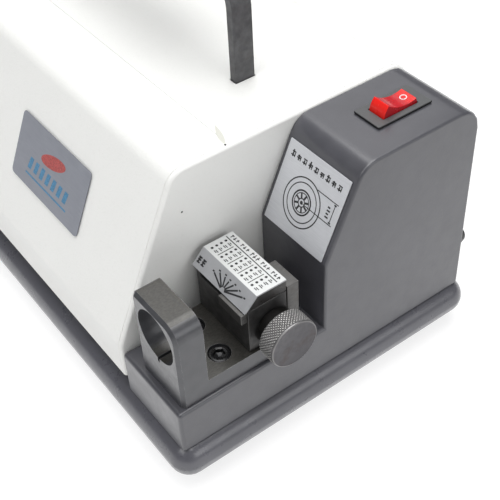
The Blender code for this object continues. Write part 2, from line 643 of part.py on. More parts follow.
# ---- Switch ------------------------------------------------------------------------------------
def switch(black, red, brass):
    y, deck = SWITCH_Y, Z_TOP + GAP
    top = deck + BEZEL_T
    half_l = ROCKER_R + GAP
    frame_x, frame_y = BEZEL_W / 2, BEZEL_L / 2
    frame = rectangle(SWITCH_X - frame_x, y - frame_y, SWITCH_X + frame_x, y + frame_y, BEZEL_CORNER_R)
    housing = outline("switch_housing", [frame], 'Z', deck, top, black)

    def rim(m, d):
        return near(m.z, top)
    soften(housing, [(rim, BEZEL_EDGE_R)], 2)
    body_x, body_y = ROCKER_W / 2 + SWITCH_BODY_OVER, BEZEL_L / 2 - SWITCH_BODY_IN
    body = box("switch_body_solid", (SWITCH_X - body_x, y - body_y, top - SWITCH_DEPTH),
               (SWITCH_X + body_x, y + body_y, top - BEZEL_T / 4))
    combine(housing, body, 'UNION')
    well = box("switch_well", (SWITCH_X - ROCKER_W / 2, y - half_l, top - PIVOT_DROP - half_l),
               (SWITCH_X + ROCKER_W / 2, y + half_l, top + half_l))
    cut(housing, well)
    pivot_z = top - PIVOT_DROP
    tip = asin((ROCKER_TIP + PIVOT_DROP) / ROCKER_R)
    angles = [tip - (ROCKER_SWEEP + tip) * k / 6 for k in range(7)]
    arc = [(ROCKER_R * cos(a), ROCKER_R * sin(a)) for a in angles]
    shape = arc + [(-u, v) for u, v in reversed(arc)] + [(0, ROCKER_DIP + PIVOT_DROP)]
    turn = -ROCKER_TILT
    shape = [(u * cos(turn) - v * sin(turn) + y, u * sin(turn) + v * cos(turn) + pivot_z) for u, v in shape]
    half_w = ROCKER_W / 2 - GAP
    outline("switch_rocker", [shape], 'X', SWITCH_X - half_w, SWITCH_X + half_w, red, (SWITCH_X, y, pivot_z))
    under = top - SWITCH_DEPTH - GAP
    for i in range(4):
        tx = SWITCH_X + (-1, 1)[i % 2] * TERMINAL_X
        ty = y + (-1, 1)[i // 2] * TERMINAL_Y
        box(f"switch_terminal_{i + 1}", (tx - TERMINAL_T / 2, ty - TERMINAL_W / 2, under - TERMINAL_L),
            (tx + TERMINAL_T / 2, ty + TERMINAL_W / 2, under), brass)


# ---- Setting gauge -----------------------------------------------------------------------------
def socket_screw(name, place, top, low, steel):
    """Cap screw with a round socket, its head's top at `top` and its tip at `low`."""
    head_low, socket_low = top - SCREW_HEAD_H + GAP, top - SCREW_SOCKET_H
    turned(name, [(0, socket_low), (SCREW_SOCKET_R, socket_low), (SCREW_SOCKET_R, top),
                  (SCREW_HEAD_R - SCREW_EDGE, top), (SCREW_HEAD_R, top - SCREW_EDGE),
                  (SCREW_HEAD_R, head_low), (SCREW_SHANK_R, head_low), (SCREW_SHANK_R, low), (0, low)],
           (*place, 0), 'Z', steel, 24)


def gauge_bracket(iron, steel):
    """Plate on the shelf with the bored ring standing at its front, one piece."""
    x0, x1, y0 = BRACKET_X0, BRACKET_X1, BRACKET_Y0
    bottom, top = Z_SHELF + GAP, Z_SHELF + RING_H
    front = rounded([(x1 - RING_W, bottom), (x1, bottom), (x1, top, RING_CORNER_R),
                     (x1 - RING_W, top, RING_LEFT_R)], 8)
    bracket = outline("gauge_bracket", [front], 'Y', y0, y0 + RING_T, iron)

    def front_edge(m, d):
        return near(m.y, y0) and m.z > bottom + GAP
    soften(bracket, [(front_edge, RING_EDGE_R)], 1)
    plate = box("plate_solid", (x0, y0 + RING_T * 0.9, bottom), (x1, BRACKET_Y1, Z_PLATE))
    combine(bracket, plate, 'UNION')
    bore = cylinder("ring_bore", (BORE_X, y0, BORE_Z), 'Y', BORE_R, 3 * RING_T, None, 48)
    keyway = box("ring_keyway", (BORE_X - KEYWAY_W / 2, y0 - RING_T, BORE_Z - BORE_R - KEYWAY_DEEP),
                 (BORE_X + KEYWAY_W / 2, y0 + 2 * RING_T, BORE_Z))
    cutters = [bore, keyway]
    for word, x in SCREW_PLACES:
        place = (x, SCREW_Y)
        sink = 2 * (SCREW_HEAD_H + GAP)
        cutters += [cylinder(f"counterbore_{word}", (*place, Z_PLATE), 'Z', SCREW_HEAD_R + GAP, sink, None, 28),
                    cylinder(f"clearance_hole_{word}", (*place, Z_SHELF), 'Z', SCREW_SHANK_R + 2 * GAP,
                             3 * BRACKET_T, None, 20)]
        socket_screw(f"bracket_screw_{word}", place, Z_PLATE - GAP, Z_SHELF - WALL + GAP, steel)
    return cut(bracket, *cutters)


def gauge_body(black):
    """Block with a slot right through, in which the jaw slides, and a pocket for the jaw's lug."""
    body = box("gauge_body", (GAUGE_X0, GAUGE_Y0, GAUGE_Z0), (GAUGE_X1, GAUGE_Y1, SLOT_TOP), black)
    slot = box("jaw_slot", (GAUGE_X0 + CHEEK_L, GAUGE_Y0 - GAUGE_D, GAUGE_Z1),
               (GAUGE_X1 - CHEEK_R, GAUGE_Y1 + GAUGE_D, SLOT_TOP + SLOT_H))
    half = JAW_LUG / 2 + GAP
    pocket = box("lug_pocket", (GAUGE_X0 + CHEEK_L, AXIS_Y - half, AXIS_Z - half - GAP),
                 (GAUGE_X1 - CHEEK_R, AXIS_Y + half, GAUGE_Z1 + SLOT_H / 2))
    screw_hole = cylinder("leadscrew_hole", (GAUGE_X1, AXIS_Y, AXIS_Z), 'X', LEAD_R + GAP, JAW_L, None, 24)
    return cut(body, slot, pocket, screw_hole)


def gauge_jaw(steel):
    """Saddle through the slot: stop strip in front, guide block behind, threaded lug below."""
    x0, x1 = GAUGE_X1 - JAW_L, GAUGE_X1 - CHEEK_R - GAP
    low, high, front = GAUGE_Z1 + GAP, SLOT_TOP - GAP, GAUGE_Y0 - JAW_PROUD
    jaw = box("gauge_jaw", (x0, front, low), (x1, TAIL_Y1, high), steel)
    strip = box("jaw_strip_solid", (x0, front, low), (GAUGE_X1, GAUGE_Y0 - GAP, high))
    tail = box("jaw_tail_solid", (x0, GAUGE_Y1 + GAP, GAUGE_Z0), (GAUGE_X1, TAIL_Y1, high + JAW_TAIL_RISE))
    lug = box("jaw_lug_solid", (x0, AXIS_Y - JAW_LUG / 2, AXIS_Z - JAW_LUG / 2),
              (x1, AXIS_Y + JAW_LUG / 2, high - LUG_DROP))
    for piece in (strip, tail, lug):
        combine(jaw, piece, 'UNION')
    hole = cylinder("jaw_thread_hole", (x1, AXIS_Y, AXIS_Z), 'X', LEAD_R + GAP, 3 * JAW_L, None, 24)
    return cut(jaw, hole)


def gauge_roof(black, silver):
    """Prism over the slot with a 45 degree front, under a bent scale plate."""
    y0, y1, z0 = GAUGE_Y0 - GAP, GAUGE_Y1, SLOT_TOP + GAP
    z1 = z0 + ROOF_H
    shape = [(y0, z0), (y1, z0), (y1, z1), (y0 + ROOF_H, z1)]
    outline("scale_block", [shape], 'X', GAUGE_X0, GAUGE_X1, black)
    inner, outer = GAP, GAP + ROOF_SKIN
    along, across = sqrt(2), tan(radians(22.5))      # offsets of a 45 degree face at its foot and its bend
    bend = [(y0 - inner * along, z0), (y0 + ROOF_H - inner * across, z1 + inner), (y1, z1 + inner),
            (y1, z1 + outer), (y0 + ROOF_H - outer * across, z1 + outer), (y0 - outer * along, z0)]
    outline("scale_plate", [bend], 'X', GAUGE_X0 - GAP, GAUGE_X1 + GAP, silver)


def gauge_adjuster(steel):
    """Knurled knob and the leadscrew it turns; both share one axis."""
    collar_x = GAUGE_X1 + GAP
    back = collar_x - KNOB_X
    edge = KNOB_CHAMFER
    profile = [(0, 0), (KNOB_R - edge, 0), (KNOB_R, -edge), (KNOB_R, -KNOB_L + edge), (KNOB_R - edge, -KNOB_L),
               (KNOB_COLLAR_R, -KNOB_L), (KNOB_COLLAR_R, back), (0, back)]
    turned("gauge_knob", profile, (KNOB_X, AXIS_Y, AXIS_Z), 'X', steel, 48)
    screw_x0 = GAUGE_X0 + CHEEK_L + GAP
    screw_x1 = collar_x - GAP
    cylinder("gauge_leadscrew", ((screw_x0 + screw_x1) / 2, AXIS_Y, AXIS_Z), 'X', LEAD_R,
             screw_x1 - screw_x0, steel, 20)


# ---- Cable outlet ------------------------------------------------------------------------------
def cable_outlet(plastic):
    x, z = GLAND_X, Z_BASE + GLAND_Z
    r, bore = GLAND_R, GLAND_BORE_R
    neck, out, inner = r - GLAND_NECK - GAP, GLAND_OUT, -WALL - GLAND_IN
    turned("cable_gland", [(bore, out), (r * 0.72, out), (r * 0.95, out * 0.55), (r, out * 0.5), (r, GAP),
                           (neck, GAP), (neck, inner), (bore, inner)], (x, YB, z), 'Y', plastic, 24, True)
    nut_y = -WALL - GAP
    nut_end = nut_y - LOCKNUT_T
    nut = [(neck + GAP, nut_y), (NUT_RING_R, nut_y), (NUT_RING_R, nut_end), (neck + GAP, nut_end)]
    turned("gland_locknut", nut, (x, YB, z), 'Y', plastic, 24, True)


# ---- Motor and grinding wheel ------------------------------------------------------------------
def ring(name, r_in, r_out, x0, x1, mat, steps=36):
    place = ((x0 + x1) / 2, SHAFT_Y, SHAFT_Z)
    h = (x1 - x0) / 2
    return turned(name, [(r_in, h), (r_out, h), (r_out, -h), (r_in, -h)], place, 'X', mat, steps, True)


def motor_bell(word, side, end, alu, steel):
    """End shield with the bearing in its pocket; `end` is where it meets the can."""
    far, pocket = end + side * BELL_T, end + side * (BELL_T - BELL_LIP)
    seat, hole = BEARING_R + GAP, SHAFT_R + BELL_LIP
    profile = [(seat, end), (MOTOR_R, end), (MOTOR_R, far), (hole, far), (hole, pocket), (seat, pocket)]
    if side > 0:
        profile.reverse()
    turned(f"motor_bell_{word}", profile, (0, SHAFT_Y, SHAFT_Z), 'X', alu, 36, True)
    bearing = sorted((pocket - side * GAP, pocket - side * (GAP + BEARING_W)))
    ring(f"motor_bearing_{word}", SHAFT_R + GAP, BEARING_R, *bearing, steel, 28)


def motor_cradle(word, x, alu):
    """Saddle under the can, standing on the base plate."""
    r = MOTOR_R + GAP
    angles = [CRADLE_SPREAD * (k / 7 - 1) for k in range(15)]
    arc = [(SHAFT_Y + r * sin(a), SHAFT_Z - r * cos(a)) for a in angles]
    wide = r * sin(CRADLE_SPREAD) + CRADLE_SIDE
    low, top = Z_BASE + GAP, SHAFT_Z - r * cos(CRADLE_SPREAD)
    sides = [(SHAFT_Y + wide, top), (SHAFT_Y + wide, low), (SHAFT_Y - wide, low), (SHAFT_Y - wide, top)]
    outline(f"motor_cradle_{word}", [arc + sides], 'X', x - CRADLE_T / 2, x + CRADLE_T / 2, alu)


def motor(steel, alu, copper):
    x0, x1 = MOTOR_X - MOTOR_L / 2, MOTOR_X + MOTOR_L / 2
    core_x0, core_x1 = MOTOR_X - ROTOR_L / 2, MOTOR_X + ROTOR_L / 2
    ring("motor_can", MOTOR_R - CAN_T, MOTOR_R, x0, x1, steel)
    ring("motor_stator", ROTOR_R + AIR_GAP, MOTOR_R - CAN_T - GAP, core_x0, core_x1, copper)
    ring("motor_rotor", SHAFT_R + GAP, ROTOR_R, core_x0, core_x1, steel)
    motor_bell("left", -1, x0 - GAP, alu, steel)
    motor_bell("right", 1, x1 + GAP, alu, steel)
    motor_cradle("left", MOTOR_X - MOTOR_L * CRADLE_SHARE, alu)
    motor_cradle("right", MOTOR_X + MOTOR_L * CRADLE_SHARE, alu)


def grinding_head(steel, grit, alu):
    """The shaft, and what it carries inside the left casting."""
    right_end = MOTOR_X + MOTOR_L / 2 + BELL_T - BELL_LIP / 2
    left_end = WHEEL_X0 - GAP - NUT_H - SHAFT_END
    bore, cone = SHAFT_R + GAP, WHEEL_T * WHEEL_CONE
    middle = ((left_end + right_end) / 2, SHAFT_Y, SHAFT_Z)
    cylinder("motor_shaft", middle, 'X', SHAFT_R, right_end - left_end, steel)
    ring("wheel_back_flange", bore, FLANGE_R, WHEEL_X1 + GAP, WHEEL_X1 + GAP + FLANGE_T, alu, 32)
    turned("grinding_wheel", [(bore, WHEEL_T), (WHEEL_R, WHEEL_T), (WHEEL_R, cone), (WHEEL_R - cone * 0.9, 0),
                              (bore, 0)], (WHEEL_X0, SHAFT_Y, SHAFT_Z), 'X', grit, 48, True)
    ring("wheel_nut", bore, NUT_R, WHEEL_X0 - GAP - NUT_H, WHEEL_X0 - GAP, steel, 24)


def chuck_port(name, place, axis, iron, steel):
    """Flanged guide sleeve for the drill chuck, facing down its axis and held by two screws."""
    depth = WALL + PORT_SLEEVE_IN
    profile = [(SLEEVE_R, depth), (SLEEVE_R, -GAP), (FLANGE_OUT_R, -GAP), (FLANGE_OUT_R, -PORT_FLANGE_T),
               (BORE_R, -PORT_FLANGE_T), (BORE_R, depth)]
    port = turned(name, profile, place, axis, iron, 40, True)
    out = Vector((0, -1, 0)) if axis == 'Y' else Vector((-1, 0, 0))
    for k, word in ((1, "upper"), (-1, "lower")):
        spot = Vector(place) + Vector((0, 0, k * (FLANGE_OUT_R + SLEEVE_R) / 2))
        face = spot + out * PORT_FLANGE_T
        cut(port, cylinder(f"{name}_{word}_hole", face, axis, PORT_SCREW_R + GAP, PORT_FLANGE_T, None, 12))
        head = PORT_FLANGE_T / 2 - GAP - PORT_SCREW_SUNK
        middle = face - out * (PORT_SCREW_SUNK + head / 2)
        cylinder(f"{name}_screw_{word}", middle, axis, PORT_SCREW_R, head, steel, 12)


def main():
    start()
    iron = material("casting_grey", (0.20, 0.20, 0.215), 0.5)
    base_iron = material("base_grey", (0.17, 0.17, 0.185), 0.45)
    white = material("hood_white", (0.82, 0.82, 0.80), 0.4)
    black = material("black_oxide", (0.03, 0.03, 0.033), 0.4)
    steel = material("bare_steel", (0.45, 0.44, 0.42), 0.35, 0.9)
    dark_steel = material("bracket_grey", (0.14, 0.14, 0.145), 0.45, 0.2)
    silver = material("label_silver", (0.40, 0.41, 0.44), 0.4, 0.3)
    rubber = material("rubber_black", (0.02, 0.02, 0.02), 0.8)
    plastic = material("switch_black", (0.04, 0.04, 0.04), 0.35)
    red = material("rocker_red", (0.75, 0.01, 0.01), 0.25)
    brass = material("terminal_brass", (0.75, 0.55, 0.25), 0.35, 1.0)
    alu = material("cast_aluminium", (0.55, 0.55, 0.56), 0.5, 0.8)
    copper = material("stator_copper", (0.50, 0.22, 0.10), 0.5, 0.6)
    grit = material("wheel_grit", (0.34, 0.30, 0.24), 0.9)
    base_plate(base_iron)
    feet(rubber, steel)
    right_casting(iron)
    left_casting(iron)
    skirts(base_iron)
    hood(white)
    handle(dark_steel, rubber)
    plates(silver)
    switch(plastic, red, brass)
    gauge_bracket(dark_steel, black)
    gauge_body(black)
    gauge_jaw(steel)
    gauge_roof(black, silver)
    gauge_adjuster(steel)
    cable_outlet(plastic)
    motor(steel, alu, copper)
    grinding_head(steel, grit, alu)
    chuck_port("front_port", (PORT_X, YF, PORT_Z), 'Y', dark_steel, steel)
    chuck_port("side_port", (-XR, PORT_SIDE_Y, PORT_Z), 'X', dark_steel, steel)


main()
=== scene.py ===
"""Looks of a bench drill-bit grinder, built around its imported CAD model.

Metres, +Z up, the same frame as the CAD model. Places come from the CAD nodes' boxes.
"""
import bpy
import bmesh
import json
from math import asin, ceil, cos, hypot, pi, radians, sin
from mathutils import Matrix, Vector

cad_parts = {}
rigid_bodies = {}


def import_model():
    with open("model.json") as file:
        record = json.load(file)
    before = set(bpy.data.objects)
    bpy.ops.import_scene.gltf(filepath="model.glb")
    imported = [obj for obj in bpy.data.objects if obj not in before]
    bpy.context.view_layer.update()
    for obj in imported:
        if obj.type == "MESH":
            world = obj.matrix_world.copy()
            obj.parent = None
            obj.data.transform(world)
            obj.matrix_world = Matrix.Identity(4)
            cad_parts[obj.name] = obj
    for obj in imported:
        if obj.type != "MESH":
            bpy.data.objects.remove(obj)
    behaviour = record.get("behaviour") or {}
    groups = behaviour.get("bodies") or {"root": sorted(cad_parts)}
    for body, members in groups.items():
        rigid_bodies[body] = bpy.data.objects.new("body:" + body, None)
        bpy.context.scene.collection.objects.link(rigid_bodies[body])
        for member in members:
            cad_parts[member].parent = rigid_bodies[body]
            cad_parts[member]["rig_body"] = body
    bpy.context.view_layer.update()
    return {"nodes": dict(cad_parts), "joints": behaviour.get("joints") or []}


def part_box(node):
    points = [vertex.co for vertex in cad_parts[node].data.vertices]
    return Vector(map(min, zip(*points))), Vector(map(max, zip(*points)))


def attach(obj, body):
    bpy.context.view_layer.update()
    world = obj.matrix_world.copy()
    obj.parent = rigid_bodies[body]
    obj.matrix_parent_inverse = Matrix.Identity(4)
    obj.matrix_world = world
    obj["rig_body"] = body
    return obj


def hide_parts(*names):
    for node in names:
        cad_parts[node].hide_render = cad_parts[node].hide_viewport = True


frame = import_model()

MM = 0.001
SLOPE = radians(24.5)        # lean of the sloped fronts from the vertical

# ---- Places read from the frame ----------------------------------------------------------------
CASTING_LOW, CASTING_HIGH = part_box("right_casting")
BASE_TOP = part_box("base_plate")[1].z
JOINTS = {joint["name"]: joint for joint in frame["joints"]}


def joint_place(name):
    return Vector(JOINTS[name]["pos_m"])


# ---- Materials ---------------------------------------------------------------------------------
def shade(colour, amount):
    """A colour made lighter or darker, channel by channel where the amount is a triple."""
    shares = amount if isinstance(amount, tuple) else (amount,) * 3
    return tuple(min(1.0, c * share) for c, share in zip(colour, shares))


class Surface:
    """A Principled material, with short ways to add nodes to it."""

    def __init__(self, name, colour, roughness, metallic=0.0, **sockets):
        self.mat = bpy.data.materials.new(name)
        self.mat.use_nodes = True
        self.tree = self.mat.node_tree
        self.shader = self.tree.nodes["Principled BSDF"]
        self.colour = colour
        self.set("Base Color", (*colour, 1))
        self.set("Roughness", roughness)
        self.set("Metallic", metallic)
        for socket, value in sockets.items():
            self.set(socket.replace("_", " "), value)
        self.coords = self.node("TexCoord").outputs["Object"]
        self.normal = self.node("NewGeometry").outputs["True Normal"]
        self.paint = None
        self.relief = None

    def set(self, socket, value):
        self.shader.inputs[socket].default_value = value

    def node(self, kind, **settings):
        made = self.tree.nodes.new("ShaderNode" + kind)
        for key, value in settings.items():
            setattr(made, key, value)
        return made

    def feed(self, socket, value):
        if isinstance(value, bpy.types.NodeSocket):
            self.tree.links.new(value, socket)
        elif isinstance(value, tuple) and len(value) == 3 and socket.type == 'RGBA':
            socket.default_value = (*value, 1)
        else:
            socket.default_value = value

    def math(self, operation, a, b=0.0, clamp=False):
        made = self.node("Math", operation=operation, use_clamp=clamp)
        self.feed(made.inputs[0], a)
        self.feed(made.inputs[1], b)
        return made.outputs[0]

    def scaled(self, sizes):
        """The coordinates, stretched along X, Y and Z."""
        made = self.node("Mapping")
        self.feed(made.inputs["Vector"], self.coords)
        made.inputs["Scale"].default_value = sizes
        return made.outputs["Vector"]

    def noise(self, grain, detail=3.0, roughness=0.55, coords=None):
        """Noise whose blobs are about `grain` metres across."""
        made = self.node("TexNoise")
        self.feed(made.inputs["Vector"], coords or self.coords)
        made.inputs["Scale"].default_value = 1 / grain
        made.inputs["Detail"].default_value = detail
        made.inputs["Roughness"].default_value = roughness
        return made.outputs[0]

    def cells(self, grain):
        made = self.node("TexVoronoi", feature='F1')
        self.feed(made.inputs["Vector"], self.coords)
        made.inputs["Scale"].default_value = 1 / grain
        return made.outputs["Distance"]

    def span(self, value, low, high, to_low=0.0, to_high=1.0):
        made = self.node("MapRange", clamp=True)
        for socket, number in zip(("From Min", "From Max", "To Min", "To Max"), (low, high, to_low, to_high)):
            made.inputs[socket].default_value = number
        self.feed(made.inputs["Value"], value)
        return made.outputs["Result"]

    def mix(self, share, a, b):
        made = self.node("Mix", data_type='RGBA')
        self.feed(made.inputs[0], share)
        self.feed(made.inputs[6], a)
        self.feed(made.inputs[7], b)
        return made.outputs[2]

    def facing(self, direction, low=0.85, high=0.95):
        """1 where the surface faces a direction of the object's own."""
        made = self.node("VectorMath", operation='DOT_PRODUCT')
        self.feed(made.inputs[0], self.normal)
        made.inputs[1].default_value = direction
        return self.span(made.outputs["Value"], low, high)

    def part(self, axis):
        made = self.node("SeparateXYZ")
        self.feed(made.inputs[0], self.coords)
        return made.outputs[axis]

    def edges(self, radius, low=0.02, high=0.30):
        """1 along the edges, within a radius of them."""
        bevel = self.node("Bevel", samples=4)
        bevel.inputs["Radius"].default_value = radius
        made = self.node("VectorMath", operation='DOT_PRODUCT')
        self.feed(made.inputs[0], bevel.outputs[0])
        self.feed(made.inputs[1], self.normal)
        return self.span(self.math('SUBTRACT', 1.0, made.outputs["Value"]), low, high)

    def over(self, share, colour):
        """Lay another colour over what is there."""
        self.paint = self.mix(share, self.paint or self.colour, colour)
        return self

    def mottle(self, grain, amount, detail=4.0):
        """Lighter and darker patches."""
        dark = shade(self.colour, 1 - amount)
        light = shade(self.colour, 1 + amount)
        self.paint = self.mix(self.span(self.noise(grain, detail), 0.3, 0.7), dark, light)
        return self

    def polish(self, grain, low, high):
        """Roughness that wanders between two values."""
        self.feed(self.shader.inputs["Roughness"], self.span(self.noise(grain), 0.3, 0.7, low, high))
        return self

    def emboss(self, height, depth):
        """Add a height map to the bump, `depth` metres high."""
        made = self.node("Bump")
        made.inputs["Strength"].default_value = 1.0
        made.inputs["Distance"].default_value = depth
        self.feed(made.inputs["Height"], height)
        if self.relief:
            self.feed(made.inputs["Normal"], self.relief)
        self.relief = made.outputs[0]
        return self

    def done(self):
        if self.paint:
            self.feed(self.shader.inputs["Base Color"], self.paint)
        if self.relief:
            self.feed(self.shader.inputs["Normal"], self.relief)
        return self.mat


def casting_paint(name, colour, gloss=0.40, edge_wear_and_highlight=True):
    """Satin paint over a casting: fine orange peel, faint patches, and lighter edges that are partly worn
    paint and partly a painted highlight.
    """
    s = Surface(name, colour, gloss, Coat_Weight=0.5, Coat_Roughness=0.24, Specular_IOR_Level=0.55)
    s.mottle(18 * MM, 0.08)
    s.over(s.span(s.noise(2.2 * MM, 5.0), 0.55, 0.80, 0.0, 0.25), shade(colour, 1.3))
    if edge_wear_and_highlight:
        # Lighter along the edges: partly worn paint, partly a painted highlight along the edge.
        s.over(s.math('MULTIPLY', s.edges(0.5 * MM), s.span(s.noise(4 * MM), 0.42, 0.70, 0.15, 0.65)),
               shade(colour, 2.6))
    s.polish(7 * MM, gloss - 0.05, gloss + 0.07)
    s.emboss(s.noise(1.1 * MM, 2.0), 0.035 * MM)
    s.emboss(s.noise(9 * MM, 2.0), 0.06 * MM)
    return s.done()


def hood_paint():
    """Fine textured off-white powder coat, darker in patches low down towards the base plate."""
    s = Surface("hood_paint", (0.89, 0.89, 0.865), 0.45, Coat_Weight=0.1, Coat_Roughness=0.3)
    s.mottle(60 * MM, 0.012)
    s.over(s.span(s.noise(1.6 * MM, 4.0), 0.55, 0.85, 0.0, 0.30), (0.74, 0.74, 0.71))
    # Darker in patches within 30 mm of the base plate's top.
    low = s.span(s.part("Z"), BASE_TOP, BASE_TOP + 30 * MM, 0.30, 0.0)
    s.over(s.math('MULTIPLY', low, s.noise(12 * MM)), (0.58, 0.57, 0.53))
    s.polish(10 * MM, 0.36, 0.50)
    s.emboss(s.noise(1.0 * MM, 3.0), 0.09 * MM)
    return s.done()


def bracket_metal():
    """Ground casting: warm machined top faces, grey painted sides, and bright edges that are partly worn
    metal and partly a painted highlight.
    """
    s = Surface("bracket_metal", (0.070, 0.071, 0.078), 0.34, 0.35, Coat_Weight=0.5, Coat_Roughness=0.25)
    s.mottle(6 * MM, 0.14)
    streaks = s.noise(0.6 * MM, 5.0, coords=s.scaled((1.0, 0.45, 1.0)))
    warm = s.mix(s.span(streaks, 0.35, 0.65), (0.040, 0.038, 0.034), (0.066, 0.063, 0.056))
    s.over(s.facing((0, 0, 1)), warm)
    # Bright edges: partly worn bare metal, partly a painted highlight along the edge.
    s.over(s.math('MULTIPLY', s.edges(0.45 * MM), s.span(s.noise(3 * MM), 0.40, 0.62, 0.1, 0.8)),
           (0.55, 0.55, 0.56))
    s.polish(3 * MM, 0.28, 0.44)
    s.emboss(streaks, 0.02 * MM)
    s.emboss(s.noise(1.4 * MM, 3.0), 0.03 * MM)
    return s.done()


def black_oxide(name, colour=(0.030, 0.030, 0.032), gloss=0.34):
    """Blackened steel with a brown cast, worn to bare metal along its edges."""
    s = Surface(name, colour, gloss, 0.35)
    s.mottle(5 * MM, 0.35)
    s.over(s.span(s.noise(2.4 * MM, 5.0), 0.52, 0.78, 0.0, 0.35), (0.075, 0.066, 0.055))
    s.over(s.math('MULTIPLY', s.edges(0.35 * MM), s.span(s.noise(2 * MM), 0.35, 0.65, 0.1, 0.7)),
           (0.30, 0.29, 0.28))
    s.polish(3 * MM, gloss - 0.06, gloss + 0.12)
    s.emboss(s.noise(0.7 * MM, 3.0), 0.015 * MM)
    return s.done()


def ground_steel(name, colour, gloss=0.34, along=(1.0, 0.1, 1.0)):
    """Machined steel with fine streaks in one direction, and a few stains."""
    s = Surface(name, colour, gloss, 0.85)
    streaks = s.noise(0.35 * MM, 3.0, coords=s.scaled(along))
    s.paint = s.mix(s.span(streaks, 0.3, 0.7), shade(colour, 0.78), shade(colour, 1.15))
    s.over(s.span(s.noise(4 * MM, 5.0), 0.55, 0.75, 0.0, 0.45), shade(colour, (0.62, 0.52, 0.42)))
    s.polish(2.5 * MM, gloss - 0.06, gloss + 0.14)
    s.emboss(streaks, 0.012 * MM)
    return s.done()


def turned_steel(name, colour, centre, crest, gloss=0.36):
    """Steel faced on a lathe: fine rings about an axis along X, brown finger stains, and a painted highlight
    on the front chamfer.
    """
    s = Surface(name, colour, gloss, 0.8)
    made = s.node("VectorMath", operation='SUBTRACT')
    s.feed(made.inputs[0], s.coords)
    made.inputs[1].default_value = centre
    split = s.node("SeparateXYZ")
    s.feed(split.inputs[0], made.outputs[0])
    y2 = s.math('MULTIPLY', split.outputs["Y"], split.outputs["Y"])
    z2 = s.math('MULTIPLY', split.outputs["Z"], split.outputs["Z"])
    radius = s.math('SQRT', s.math('ADD', y2, z2))
    rings = s.math('SINE', s.math('MULTIPLY', radius, 2 * pi / (0.45 * MM)))
    s.mottle(7 * MM, 0.06)
    s.over(s.span(s.noise(8 * MM, 3.0), 0.55, 0.75, 0.0, 0.45), shade(colour, (0.85, 0.62, 0.48)))
    side = s.facing((1, 0, 0), 0.75, 0.55)
    crests = s.span(radius, crest - 0.15 * MM, crest - 0.02 * MM)
    s.over(s.math('MULTIPLY', crests, side), (0.60, 0.59, 0.57))
    grooves = s.span(radius, crest - 0.16 * MM, crest - 0.42 * MM)
    s.over(s.math('MULTIPLY', grooves, side), (0.020, 0.019, 0.018))
    # Painted highlight: a lighter band 0.2 to 0.6 mm below the crest radius, on the front chamfer and the
    # knurl flanks.
    chamfer_in = s.span(radius, crest - 0.75 * MM, crest - 0.6 * MM)
    chamfer_out = s.span(radius, crest - 0.1 * MM, crest - 0.2 * MM)
    s.over(s.math('MULTIPLY', chamfer_in, chamfer_out), (0.24, 0.235, 0.235))
    s.polish(2 * MM, gloss - 0.05, gloss + 0.12)
    s.emboss(rings, 0.004 * MM)
    s.emboss(s.noise(0.6 * MM, 3.0), 0.010 * MM)
    return s.done()


def foil(name, colour, gloss=0.33, metallic=0.3):
    """Printed metal foil with a fine brushed grain."""
    s = Surface(name, colour, gloss, metallic)
    grain = s.noise(0.4 * MM, 2.0, coords=s.scaled((0.06, 1.0, 1.0)))
    s.paint = s.mix(s.span(grain, 0.3, 0.7), shade(colour, 0.95), shade(colour, 1.04))
    s.over(s.span(s.noise(14 * MM), 0.45, 0.75, 0.0, 0.18), shade(colour, 0.8))
    s.polish(5 * MM, gloss - 0.04, gloss + 0.06)
    s.emboss(grain, 0.003 * MM)
    return s.done()


def scale_foil():
    """White label on the flat top, bare foil on the sloped front."""
    s = Surface("scale_foil", (0.40, 0.405, 0.42), 0.36, 0.35)
    s.mottle(5 * MM, 0.05)
    s.over(s.facing((0, 0, 1)), (0.66, 0.67, 0.665))
    s.polish(4 * MM, 0.32, 0.44)
    s.emboss(s.noise(0.8 * MM), 0.004 * MM)
    return s.done()


def ink(name="print_ink", colour=(0.018, 0.018, 0.020), patches=0.35):
    s = Surface(name, colour, 0.45)
    s.mottle(0.8 * MM, patches)
    s.polish(1 * MM, 0.38, 0.55)
    return s.done()


def switch_plastic():
    """Moulded bezel: fine grain on top, dark glossy sides; the lighter grey of the upward faces is partly
    painted light from above.
    """
    s = Surface("switch_plastic", (0.012, 0.012, 0.013), 0.34)
    s.mottle(1 * MM, 0.2)
    # Upward faces lighter grey: partly the grained top, partly painted light from above.
    s.over(s.facing((0, 0, 1), 0.6, 0.9), (0.085, 0.088, 0.090))
    s.over(s.math('MULTIPLY', s.facing((0, 0, 1), 0.6, 0.9), s.span(s.noise(0.8 * MM), 0.45, 0.75, 0.0, 0.6)),
           (0.105, 0.108, 0.110))
    s.polish(2 * MM, 0.34, 0.46)
    s.emboss(s.noise(0.35 * MM, 2.0), 0.015 * MM)
    return s.done()


def rocker_plastic():
    """Clear red plastic; the faces toward the front get a painted brighter red, where the light falls on
    them.
    """
    s = Surface("rocker_plastic", (0.52, 0.014, 0.022), 0.24, Coat_Weight=0.12, Coat_Roughness=0.10,
                Subsurface_Weight=0.25, Subsurface_Scale=1.2 * MM, Specular_IOR_Level=0.35)
    s.mottle(4 * MM, 0.12)
    # Painted light: the faces toward the front are a brighter red.
    s.over(s.facing((0, -1, 0), 0.0, 0.25), (0.92, 0.022, 0.016))
    s.polish(3 * MM, 0.20, 0.30)
    s.emboss(s.noise(5 * MM), 0.01 * MM)
    return s.done()


def rubber(name):
    s = Surface(name, (0.018, 0.018, 0.019), 0.72)
    s.mottle(2 * MM, 0.3)
    s.over(s.span(s.noise(5 * MM, 5.0), 0.58, 0.80, 0.0, 0.35), (0.085, 0.083, 0.080))
    s.polish(3 * MM, 0.62, 0.82)
    s.emboss(s.noise(0.5 * MM, 3.0), 0.04 * MM)
    return s.done()


